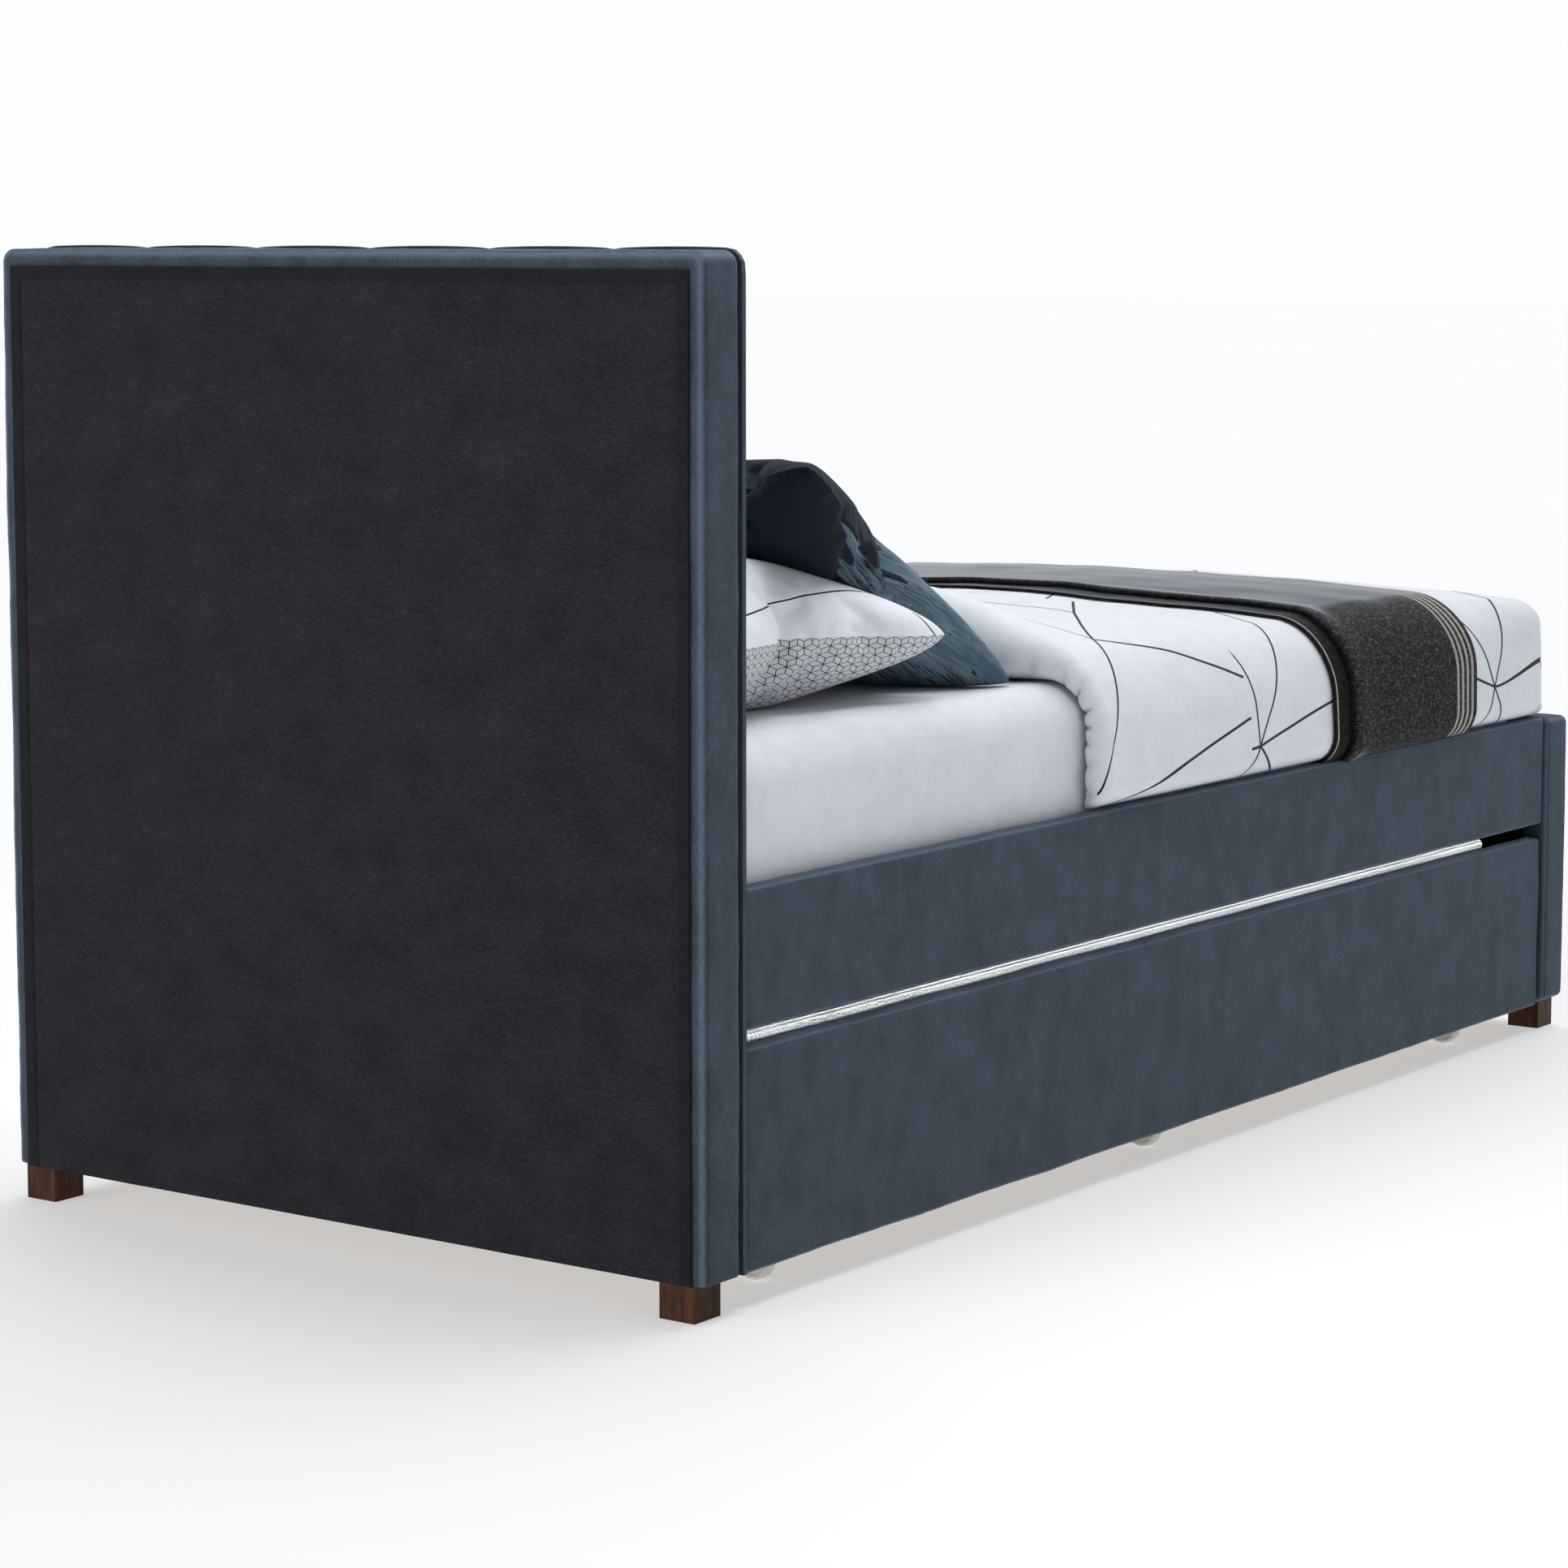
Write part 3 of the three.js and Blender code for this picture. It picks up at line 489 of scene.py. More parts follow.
def throw_weave():
    """Charcoal melange weave: dark and pale yarns in both directions, cream stripes near two edges, and a
    pale sheen painted on where the cloth is seen edge-on.
    """
    finish = Finish("throw_melange_weave", 0.9, 0.15, 0.5, (0.9, 0.95, 1.0), sheen_roughness=0.18)
    warp = finish.noise(finish.cloth((90, 330, 0)), 1, 3, 0.8)
    weft = finish.noise(finish.cloth((330, 90, 0)), 1, 3, 0.8)
    yarns = finish.math("MULTIPLY", warp, weft)
    pale_yarn = finish.steps(finish.math("MAXIMUM", warp, weft), 0.54, 0.72)
    crossings = finish.math("MULTIPLY", finish.steps(yarns, 0.2, 0.4), 0.25)
    flecks = finish.math("MULTIPLY_ADD", pale_yarn, 0.75, crossings)
    # Painted sheen: the colour turns pale grey where the cloth is seen at a grazing angle.
    painted_sheen = finish.add("ShaderNodeLayerWeight", {0: 0.5}).outputs["Facing"]
    painted_sheen = finish.math("MULTIPLY", finish.steps(painted_sheen, 0.78, 0.97), 0.75)
    body = finish.blend(flecks, (0.006, 0.006, 0.007), (0.19, 0.19, 0.20))
    body = finish.blend(painted_sheen, body, (0.34, 0.36, 0.40))
    along = finish.parts(finish.cloth())[0]
    border = finish.steps(along, THROW_TOP_EDGE + 0.004, THROW_TOP_EDGE)
    body = finish.blend(finish.math("MULTIPLY", border, 0.8), body, (0.004, 0.004, 0.005))
    stripes = [finish.math("COMPARE", along, THROW_HEM + 0.009, 0.0017)]
    for stripe in range(4):
        middle = THROW_FOLD - 0.013 - 0.0145 * stripe
        stripes.append(finish.math("COMPARE", along, middle, 0.0036))
    yarn_cream = finish.blend(flecks, (0.36, 0.34, 0.31), (0.66, 0.64, 0.6))
    finish.colour(finish.blend(finish.largest(stripes), body, yarn_cream))
    finish.roughness(yarns, 0.8, 0.95)
    finish.bump(yarns, 0.0012, 0.8)
    return finish.material


def cube_lattice(finish, cell, width):
    """1 on the edges of a net of hexagons cut in three like cubes, 0 between them."""
    point = finish.cloth((1 / cell, 1 / cell, 0))
    size = (1.0, math.sqrt(3), 1.0)
    half = (0.5, math.sqrt(3) / 2, 0.5)
    from_centre, distance = [], []
    for place in (point, finish.vector("SUBTRACT", point, half)):
        wrapped = finish.vector("WRAP", place, size, (0, 0, 0))
        from_centre.append(finish.vector("SUBTRACT", wrapped, half))
        distance.append(finish.vector("LENGTH", finish.vector("MULTIPLY", from_centre[-1], (1, 1, 0))))
    closer = finish.math("GREATER_THAN", *distance)
    local = finish.mix("VECTOR", closer, *from_centre)
    edges = []
    for turn in range(3):
        angle = math.radians(90 + 120 * turn)
        toward = (math.cos(angle), math.sin(angle), 0)
        beside = (-toward[1], toward[0], 0)
        side = finish.math("ABSOLUTE", finish.dot(local, beside))
        ahead = finish.math("GREATER_THAN", finish.dot(local, toward), 0.0)
        edges.append(finish.math("MULTIPLY", finish.math("LESS_THAN", side, width), ahead))
        edges.append(finish.math("GREATER_THAN", side, 0.5 - width))
    return finish.largest(edges)


def white_pillow_face():
    """White cotton with a few thin black lines."""
    finish, white = cotton("white_pillowcase_face", case=case_half(WHITE_PILLOW))
    node = (0.06, 0.08)
    lines = [((-0.27, -0.336), (0.27, -0.262)), ((0.224, -0.37), (0.204, -0.322))]
    lines += [(node, end) for end in ((-0.27, -0.10), (0.27, 0.02), (-0.02, 0.37))]
    finish.colour(finish.blend(printed_lines(finish, lines, 0.0030), white, INK))
    return finish.material


def white_pillow_back():
    """The underside: pale grey cotton with a net of small cubes."""
    finish, _ = cotton("white_pillowcase_lattice", case=case_half(WHITE_PILLOW))
    ink = cube_lattice(finish, 0.020, 0.030)
    finish.colour(finish.blend(ink, (0.66, 0.67, 0.70), (0.012, 0.012, 0.015)))
    return finish.material


def navy_pillow_cloth(name, border, slant):
    """Navy cotton with a pale blue dry-brush print past a ragged, slanting border."""
    finish = Finish(name, 0.85, 0.12, sheen=0.06, sheen_tint=(0.6, 0.7, 0.9))
    cloth = finish.cloth()
    along = finish.dot(cloth, (1, -slant, 0))
    bristles = finish.noise(finish.cloth((15, 270, 0)), 1, 4, 0.75)
    ragged = finish.noise(finish.cloth((5, 38, 0)), 1, 3, 0.6)
    reach = finish.math("MULTIPLY_ADD", ragged, 0.30, along)
    paint = finish.steps(reach, border + 0.15, border + 0.158)
    holes = finish.noise(finish.cloth((24, 120, 0)), 1, 4, 0.7)
    patches = finish.steps(finish.noise(finish.cloth((4, 9, 0)), 1, 2), 0.40, 0.56)
    thin = finish.math("MULTIPLY_ADD", patches, 0.75, 0.25)
    gap = finish.math("MULTIPLY", finish.steps(bristles, 0.51, 0.55), thin)
    gap = finish.math("MAXIMUM", gap, finish.steps(holes, 0.62, 0.65))
    shown = finish.math("MULTIPLY", paint, finish.math("SUBTRACT", 1.0, gap, clamp=True))
    tone = finish.noise(finish.cloth((12, 40, 0)), 1, 4)
    pale = finish.blend(finish.steps(tone, 0.35, 0.65), (0.075, 0.125, 0.165), (0.15, 0.215, 0.26))
    dark = finish.blend(finish.noise(finish.place(), 40, 4), (0.005, 0.008, 0.014), (0.013, 0.018, 0.028))
    finish.colour(finish.blend(shown, dark, pale))
    weave = finish.noise(finish.place(), 900, 2)
    puckers = seam_puckers(finish, *case_half(NAVY_PILLOW))
    relief = finish.math("MULTIPLY_ADD", shown, 0.4, weave)
    finish.bump(finish.math("MULTIPLY_ADD", puckers, PUCKER_DEPTH, relief), 0.0006, 0.5)
    return finish.material


def trundle_knit():
    """White spacer knit: small eyelets in a diagonal net over a stretchy ground."""
    finish = Finish("trundle_spacer_knit", 0.85, 0.25, sheen=0.2)
    pitch = 2 * math.pi / 0.0075
    point = finish.place((pitch, pitch, pitch))
    first = finish.math("SINE", finish.dot(point, (0.8, 0.8, 0.8)))
    second = finish.math("SINE", finish.dot(point, (0.8, 0, -0.8)))
    net = finish.math("MULTIPLY", first, second)
    eyelets = finish.steps(net, 0.25, 0.7)
    finish.colour(finish.blend(eyelets, (0.88, 0.90, 0.93), (0.50, 0.545, 0.60)))
    finish.bump(net, 0.0016, 0.8)
    return finish.material


UPHOLSTERY = upholstery_cloth()
BACK_FELT = back_felt_cloth()
PINE_ACROSS = board_wood("slat_pine", 1, (0.36, 0.22, 0.11), (0.60, 0.43, 0.25))
PINE_ALONG = board_wood("ledger_pine", 0, (0.36, 0.22, 0.11), (0.60, 0.43, 0.25))
PLYWOOD = board_wood("plywood_board", 0, (0.30, 0.19, 0.10), (0.50, 0.35, 0.20))
WALNUT = walnut_wood()
BLACK_STEEL = metal("bracket_black_steel", (0.05, 0.05, 0.052), 0.0, 0.5)
ZINC = metal("caster_zinc", (0.56, 0.56, 0.57), 1.0, 0.38)
NYLON = nylon()
DUVET_COTTON = duvet_cotton()
SHEET_COTTON = sheet_cotton()
TICKING = mattress_ticking()
THROW = throw_weave()
PILLOW_FACE = white_pillow_face()
PILLOW_BACK = white_pillow_back()
NAVY_FACE = navy_pillow_cloth("navy_pillowcase_face", 0.10, 0.3)
NAVY_BACK = navy_pillow_cloth("navy_pillowcase_back", 0.31, 1.2)
KNIT = trundle_knit()


# ---------- frame pieces that keep their CAD shape ----------
def keep_node(name, material, width=0.0012, segments=2):
    """A board, bracket or leg from the CAD model: its own material and a small round on every edge."""
    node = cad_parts[name]
    node.data.materials.clear()
    node.data.materials.append(material)
    rounding = node.modifiers.new("edge_round", "BEVEL")
    rounding.width = width
    rounding.segments = segments
    rounding.limit_method = "ANGLE"
    rounding.harden_normals = True


def keep_frame_nodes():
    """Plywood panels and boards, pine slats and ledgers, steel brackets, zinc forks and walnut legs."""
    boards = ("trundle_back_board", "trundle_centre_rail")
    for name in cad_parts:
        if name.endswith("_core"):
            keep_node(name, PLYWOOD)
        if name in boards or name.startswith("trundle_caster_rail"):
            keep_node(name, PLYWOOD, 0.002)
        if name.startswith("trundle_end"):
            keep_node(name, PINE_ACROSS, 0.002)
        if name.startswith("ledger_") or name == "centre_beam":
            keep_node(name, PINE_ALONG, 0.002)
        if name.startswith("slat_") or name == "trundle_slat_roll":
            keep_node(name, PINE_ACROSS)
        if "bracket_" in name and name.startswith("rail_"):
            keep_node(name, BLACK_STEEL, 0.0006)
        if name.startswith("caster_bracket"):
            keep_node(name, ZINC, 0.0005)
        if name.startswith("leg_"):
            keep_node(name, WALNUT, 0.0016, 3)


# ---------- upholstered frame ----------
def mark_painted_highlight(piece, normals):
    """Stores how rounded the cloth is at each point, for its material to paint a pale highlight there."""
    straight = np.abs(normals).max(axis=1)
    # Painted highlight: 1 on the rounded edges, 0 on the flat faces.
    wear = 1 - smooth_step(straight, 0.72, 0.97)
    store_values(piece, "wear", wear)


def padded_panel(node, radius, seed, body="bed_frame"):
    """Cloth drawn over a board: rounded edges and a slightly uneven face."""
    low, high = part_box(node)
    points, normals, faces = soft_box(low, high, radius, 0.014)
    uneven = ripples(points, 0.16, seed) * 0.0006 + ripples(points, 0.035, seed + 1) * 0.0006 * 0.4
    points = points + normals * uneven[:, None]
    piece = make_piece(f"{node}_cloth", points, faces, body, [UPHOLSTERY])
    mark_painted_highlight(piece, normals)
    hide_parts(node)


def headboard_border():
    """The cloth round the headboard's rim. Its box goes on below the border, so that its foot ends square."""
    low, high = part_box("headboard_border")
    box_low = (low.x, low.y, low.z - 0.013)
    points, normals, faces = soft_box(box_low, high, (0.010, 0.017, 0.018), 0.014, 7)
    uneven = ripples(points, 0.14, 3) * 0.0007 + ripples(points, 0.03, 4) * 0.0003
    uneven = np.where(normals[:, 0] < -0.95, -0.0008, uneven)
    points = points + normals * uneven[:, None]
    points[:, 2] = np.maximum(points[:, 2], low.z)
    piece = make_piece("headboard_border_cloth", points, faces, "bed_frame", [UPHOLSTERY])
    mark_painted_highlight(piece, normals)
    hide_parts("headboard_border")


TUFTS = 6  # in each direction
PAD_CORNER = 0.02  # round of the pad's upper corners
PAD_RIM = 0.0065  # how thick the pad is at its edge


def tuft_wave(t):
    """0 on the sewn lines, 1 in the middle of each tuft; t counts the tufts."""
    return np.abs(np.sin(np.pi * t)) ** 0.45


def round_upper_corners(front, gy, gz, low, high):
    """Draws the points near the pad's two upper corners in to a quarter circle."""
    above_y = PAD_CORNER - np.minimum(gy - low.y, high.y - gy)
    above_z = PAD_CORNER - (high.z - gz)
    pull = np.clip(above_y, 0, None) * np.clip(above_z, 0, None) > 0
    centre_y = np.where(gy < 0, low.y + PAD_CORNER, high.y - PAD_CORNER)
    centre_z = high.z - PAD_CORNER
    away = np.hypot(gy - centre_y, gz - centre_z)
    squeeze = np.where(pull & (away > PAD_CORNER), PAD_CORNER / np.maximum(away, 1e-6), 1.0)
    front[..., 1] = np.where(pull, centre_y + (gy - centre_y) * squeeze, front[..., 1])
    front[..., 2] = np.where(pull, centre_z + (front[..., 2] - centre_z) * squeeze, front[..., 2])


def slab_faces(shape):
    """Quads of two grids, one behind the other, and of the strip that joins their edges."""
    quads = grid_quads(*shape)
    size = shape[0] * shape[1]
    index = np.arange(size).reshape(shape)
    rim = np.concatenate([index[:-1, 0], index[-1, :-1], index[:0:-1, -1], index[0, :0:-1]])
    after = np.roll(rim, -1)
    sides = np.stack([rim, rim + size, after + size, after], axis=1)
    return np.concatenate([quads, quads[:, ::-1] + size, sides[:, ::-1]])


def headboard_front_pad():
    """Six by six square tufts: the face swells between the sewn lines and dips sharply along them."""
    low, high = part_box("headboard_front_pad")
    steps = TUFTS * 14 + 1
    y = np.linspace(low.y, high.y, steps)
    z = np.linspace(low.z, high.z, steps)
    gy, gz = np.meshgrid(y, z, indexing="ij")
    u = (gy - low.y) / (high.y - low.y)
    v = (gz - low.z) / (high.z - low.z)
    swell = tuft_wave(u * TUFTS) * tuft_wave(v * TUFTS)
    proud = 0.0032 * np.sqrt(np.abs(np.sin(np.pi * u * TUFTS))) * smooth_step(v, 0.985, 1.0)
    inset = np.minimum(np.minimum(gy - low.y, high.y - gy), np.minimum(high.z - gz, gz - low.z))
    groove = 0.0045 * (1 - swell) * smooth_step(inset, 0.004, 0.035)
    slack = 0.0007 * ripples_grid(gy, gz)
    height = 0.0078 + (high.x - low.x) * 0.45 * swell - groove + slack
    front = np.stack([low.x + height, gy, gz + proud], axis=-1)
    rim_x = low.x + PAD_RIM
    front[..., 0] = rim_x + (front[..., 0] - rim_x) * smooth_step(inset, 0, 0.006)
    round_upper_corners(front, gy, gz, low, high)
    back = front.copy()
    back[..., 0] = low.x
    points = np.concatenate([front.reshape(-1, 3), back.reshape(-1, 3)])
    faces = slab_faces(gy.shape)
    piece = make_piece("headboard_front_pad_tufted", points, faces, "bed_frame", [UPHOLSTERY])
    piece.data.set_sharp_from_angle(angle=math.radians(50))
    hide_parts("headboard_front_pad")


def ripples_grid(gy, gz):
    """The pad's uneven stuffing, for a grid of points."""
    flat = np.stack([np.zeros(gy.size), gy.ravel(), gz.ravel()], axis=1)
    return ripples(flat, 0.05, 9).reshape(gy.shape)


def back_cover():
    """The black cover on the headboard's back, with a folded hem stitched down round three sides."""
    low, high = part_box("headboard_back_cover")
    hem = 0.018
    close = 0.0015 * np.arange(-2, 3)  # extra rows of points each side of the stitches
    rows = np.concatenate([low.y + hem + close, high.y - hem + close])
    levels = high.z - hem + close
    points, normals, faces = soft_box(low, high, (0.0009, 0.001, 0.001), 0.012, 3, ((), rows, levels))
    from_edge = np.minimum(np.minimum(points[:, 1] - low.y, high.y - points[:, 1]), high.z - points[:, 2])
    outer = normals[:, 0] < -0.5
    raised = smooth_step(hem - from_edge, -0.0005, 0.0008) * 0.0009
    groove = np.exp(-(((from_edge - hem) / 0.0016) ** 2)) * 0.0010
    slack = ripples(points, 0.22, 11) * 0.0009 * smooth_step(from_edge, hem, hem + 0.06)
    points[:, 0] -= np.where(outer, raised - groove + slack, 0)
    points[:, 1] += ripples(points * (0, 0, 1), 0.15, 12) * 0.0006
    points[:, 2] += ripples(points * (0, 1, 0), 0.2, 13) * 0.0006 * (points[:, 2] > high.z - 0.03)
    piece = make_piece("headboard_back_cover_cloth", points, faces, "bed_frame", [BACK_FELT])
    # Marks the hem, which the felt's material paints darker as shade.
    store_values(piece, "hem", from_edge < hem)
    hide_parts("headboard_back_cover")


def footboard():
    """The upholstered footboard and the thin felt on its inner face."""
    padded_panel("footboard_cover", (0.008, 0.011, 0.011), 21)
    low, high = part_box("footboard_inner_cover")
    points, _, faces = soft_box(low, high, (0.0003, 0.001, 0.001), 0.02, 2)
    points[:, 0] += ripples(points, 0.12, 22) * 0.0002
    piece = make_piece("footboard_inner_felt", points, faces, "bed_frame", [BACK_FELT])
    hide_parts("footboard_inner_cover")


def side_panels():
    """The two upholstered rails and the trundle's front."""
    padded_panel("rail_near_cover", (0.0025, 0.0062, 0.0062), 31)
    padded_panel("rail_far_cover", (0.0025, 0.0062, 0.0062), 34)
    padded_panel("trundle_front_cover", (0.006, 0.0062, 0.0062), 37, "trundle")


# ---------- casters ----------
def lathe(profile, segments):
    """Turns (radius, along X) points round the X axis; the profile is closed."""
    angles = np.linspace(0, 2 * np.pi, segments, endpoint=False)
    rings = [[(along, r * math.cos(a), r * math.sin(a)) for r, along in profile] for a in angles]
    points = np.array(rings).reshape(-1, 3)
    count = len(profile)
    faces = []
    for i in range(segments):
        for j in range(count):
            a, b = i * count + j, i * count + (j + 1) % count
            c, d = ((i + 1) % segments) * count + (j + 1) % count, ((i + 1) % segments) * count + j
            faces.append((a, d, c, b))
    return points, np.array(faces)


def caster_wheels():
    """Moulded wheels: crowned tread, dished webs and a hub boss on each side."""
    bore = 0.00414
    for name in [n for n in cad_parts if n.startswith("caster_wheel")]:
        low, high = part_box(name)
        radius, half = (high.z - low.z) / 2, (high.x - low.x) / 2
        hub = [(bore, half), (0.0088, half), (0.0094, half - 0.0005), (0.0098, half - 0.004)]
        web = [(0.0075, 0.0042), (0.0058, 0.0018), (0.004, 0.0006), (0.0018, 0.0012), (0.0006, 0.003)]
        side = hub + [(radius - inward, half - sunk) for inward, sunk in web] + [(radius, half * 0.35)]
        profile = side + [(r, -along) for r, along in reversed(side)]
        points, faces = lathe(profile, 72)
        centre = np.array((low + high) / 2)
        body = name.replace("caster_", "")
        piece = make_piece(f"{name}_moulded", points + centre, faces, body, [NYLON])
        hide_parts(name)


# ---------- bedding cross-sections ----------
ZONE_POINTS = (62, 34, 11, 11)  # on the top, the shoulder, the side and the hem


def resampled(points, count):
    """The same line as points, cut into equal steps."""
    points = np.array(points, float)
    steps = np.linalg.norm(np.diff(points, axis=0), axis=1)
    along = np.concatenate([[0], np.cumsum(steps)])
    wanted = np.linspace(0, along[-1], count)
    return np.stack([np.interp(wanted, along, column) for column in points.T], axis=1)


def whole_outline(zones):
    """Joins the zones of half a cross-section, middle first, and mirrors them: near hem to far hem."""
    parts = [resampled(zone, count) for zone, count in zip(zones, ZONE_POINTS)]
    half = np.concatenate([parts[0]] + [part[1:] for part in parts[1:]])
    near = half[::-1] * (-1, 1)
    return np.concatenate([near[:-1], half])


def crown(y):
    """How high the duvet's top lies across the bed."""
    return DUVET_TOP - DUVET_CROWN * y * y


def duvet_outline(shoulder_y=SHOULDER_Y, side_top=SIDE_TOP):
    """The duvet's outside: a crowned top, full shoulders, and sides that curl in under at the hem."""
    quarter = np.linspace(0, math.pi / 2, 24)
    top = [(y, crown(y)) for y in np.linspace(0, shoulder_y, 30)]
    rise = crown(shoulder_y) - side_top
    reach = DUVET_HALF - shoulder_y
    shoulder = [(shoulder_y + reach * math.sin(a), side_top + rise * math.cos(a)) for a in quarter]
    out = DUVET_HALF + BELLY
    side = [(DUVET_HALF, side_top), (out, SIDE_LOW)]
    tuck, fall = out - HEM_Y, SIDE_LOW - HEM
    hem = [(out - tuck * (1 - math.cos(a)), SIDE_LOW - fall * math.sin(a)) for a in quarter]
    return whole_outline([top, shoulder, side, hem])


def bed_outline():
    """The sheeted mattress, a little outside it, matched point for point to the duvet's outline."""
    clear = 0.0012
    half, top, radius = SHEET_HIGH.y + clear, SHEET_HIGH.z + clear, MATTRESS_ROUND
    quarter = np.linspace(0, math.pi / 2, 12)
    flat = [(0, top), (SHOULDER_Y, top)]
    turn = [(half - radius + radius * math.sin(a), top - radius + radius * math.cos(a)) for a in quarter]
    shoulder = [(SHOULDER_Y, top), *turn, (half, SIDE_TOP)]
    side = [(half, SIDE_TOP), (half, SIDE_LOW)]
    return whole_outline([flat, shoulder, side, [(half, SIDE_LOW), (HEM_Y, HEM)]])


OUTER = duvet_outline()
BOXY_FOOT = duvet_outline(0.474, 0.598) - OUTER  # how much squarer the outline is at the foot end
INNER = bed_outline()


def outline_normals(outline):
    """Outward directions along a cross-section that runs from the near hem over the top to the far hem."""
    slope = np.gradient(outline, axis=0)
    normals = np.stack([-slope[:, 1], slope[:, 0]], axis=1)
    return normals / np.linalg.norm(normals, axis=1)[:, None]


OUTER_NORMAL = outline_normals(OUTER)
LENGTHS = np.concatenate([[0], np.cumsum(np.linalg.norm(np.diff(OUTER, axis=0), axis=1))])
CLOTH_ACROSS = LENGTHS[-1] / 2 - LENGTHS  # from the middle, positive on the near side
TOPNESS = smooth_step(DUVET_HALF - np.abs(OUTER[:, 0]), 0.0, 0.26)
HEM_FADE = smooth_step(OUTER[:, 1], HEM, HEM + 0.03)
# The lifts all along the outline: nearly nothing on the sides, and nothing at the hem.
ROLL_HEIGHT = (ROLL_LIFT * TOPNESS + 0.006 * (1 - TOPNESS)) * HEM_FADE
FLAP_HEIGHT = (FLAP_LIFT * TOPNESS + 0.010 * (1 - TOPNESS)) * HEM_FADE
PLAIN_CLOTH = 10.0  # a place along the cloth beyond every printed line


def swept(x, lift, base=OUTER):
    """A row of points across the bed: the outline at x, pushed out by lift; the top sinks near the foot."""
    x = np.broadcast_to(x, len(base))
    lift = np.broadcast_to(lift, len(base))
    if base is OUTER:
        topmost = smooth_step(base[:, 1], SIDE_TOP, DUVET_TOP)
        sink = FOOT_SINK * smooth_step(x, HEAD_X + 1.80, HEAD_X + 2.03) * topmost
        base = base + BOXY_FOOT * smooth_step(x, HEAD_X + 1.88, HEAD_X + 2.035)[:, None]
        base = base - np.stack([0 * sink, sink], axis=1)
    return np.column_stack([x, base + OUTER_NORMAL * lift[:, None]])


def roll_shift(x):
    """How far the fold at the head drifts towards the foot as it runs down the sides."""
    return 0.026 * (1 - TOPNESS) * math.exp(-max(x - ROLL_CENTRE, 0) / 0.07)


def bedding_waves(points):
    """Slow unevenness of the duvet's filling, shared by what lies on it."""
    return ripples(points, 0.34, 41) * 0.0026 + ripples(points, 0.11, 42) * 0.0008


def push_rows(points, slack):
    """Moves rows of points away from the bed by slack."""
    push = np.tile(OUTER_NORMAL, (len(points) // len(OUTER), 1))
    points[:, 1:] += push * slack[:, None]


def cloth_corners(faces, marks):
    """Cloth coordinates of every face's corners: the row's mark, and the way across the bed."""
    return np.stack([marks[faces // len(OUTER)], CLOTH_ACROSS[faces % len(OUTER)]], axis=-1)


def thicken(piece, thickness, offset):
    """Gives a single layer of cloth its thickness: about its middle at offset 0, inwards at -1."""
    thick = piece.modifiers.new("cloth_thickness", "SOLIDIFY")
    thick.thickness = thickness
    thick.offset = offset


# ---------- duvet ----------
def base_rows():
    """The top and sides from under the flap to the foot, then the foot end down to its hem."""
    start = DUVET_FOOT + 0.011 - FOOT_BULGE - FOOT_ROUND
    rows = [(swept(x, 0.0), x - HEAD_X) for x in np.linspace(HEAD_X + FLAP_END + 0.003, start, 70)]
    for a in np.linspace(0, 0.40 * math.pi, 8)[1:]:
        sunk = swept(start + FOOT_ROUND * math.sin(a), -FOOT_ROUND * (1 - math.cos(a)) * HEM_FADE)
        rows.append((sunk, start - HEAD_X + FOOT_ROUND * a))
    rim = rows[-1][0]
    hem_line = np.column_stack([rim[:, 0] - 0.008, rim[:, 1] * 0.95, np.full(len(rim), HEM)])
    for share in np.linspace(0, 1, 18)[1:]:
        bulge = FOOT_BULGE * math.sin(math.pi * share) ** 0.8
        points = rim + (hem_line - rim) * share**1.15 + np.array((bulge, 0, 0))
        rows.append((points, start - HEAD_X + FOOT_ROUND * 1.26 + 0.17 * share))
    return rows


def inside_rows():
    """Up inside the foot end and back along the sheet to the roll, out of sight."""
    start = SHEET_HIGH.x + 0.0035
    inside = swept(start, 0.0, INNER)
    hem_line = np.column_stack([inside[:, 0], inside[:, 1] * 0.93, np.full(len(inside), HEM + 0.0002)])
    rows = [inside + (hem_line - inside) * share for share in np.linspace(1, 0, 6)]
    for x in np.linspace(start, HEAD_X + ROLL_CENTRE, 24)[1:]:
        rows.append(swept(x + roll_shift(x - HEAD_X), 0.0, INNER))
    return [(points, PLAIN_CLOTH) for points in rows]


def roll_rows():
    """The full roll where the duvet turns back at the head, pinched into pleats underneath."""
    across = np.column_stack([np.zeros(len(OUTER)), INNER])
    toward = swept(0.0, ROLL_HEIGHT) - across
    height = np.linalg.norm(OUTER - INNER, axis=1) + ROLL_HEIGHT
    radius = 0.5 * (height * 0.75 + 0.024)
    depth = 0.0110 + 0.0050 * np.sin(CLOTH_ACROSS * 37 + 1.0)
    rows = []
    for a in np.linspace(-math.pi / 2, math.pi / 2, 26):
        level = 0.5 * (1 + math.sin(a))
        phase = CLOTH_ACROSS * 84 + 2.4 * np.sin(CLOTH_ACROSS * 23) + 1.2 * level * np.sin(CLOTH_ACROSS * 41)
        pleat = 0.0034 - depth * (1 - np.abs(np.sin(phase))) ** 2.5
        pleat = pleat + np.sin(CLOTH_ACROSS * 171 + 1.3) * 0.0014
        pinch = math.cos(a) ** 0.6 * (1 - level) ** 0.8
        front = radius * math.cos(a) * (1 + 0.08 * np.sin(CLOTH_ACROSS * 19 + 0.6))
        points = across + toward * level
        points[:, 0] = HEAD_X + ROLL_CENTRE + roll_shift(ROLL_CENTRE) - front - pleat * pinch * HEM_FADE
        rows.append((points, FLAP_SHIFT + ROLL_CENTRE - 0.05 * math.cos(a)))
    return rows


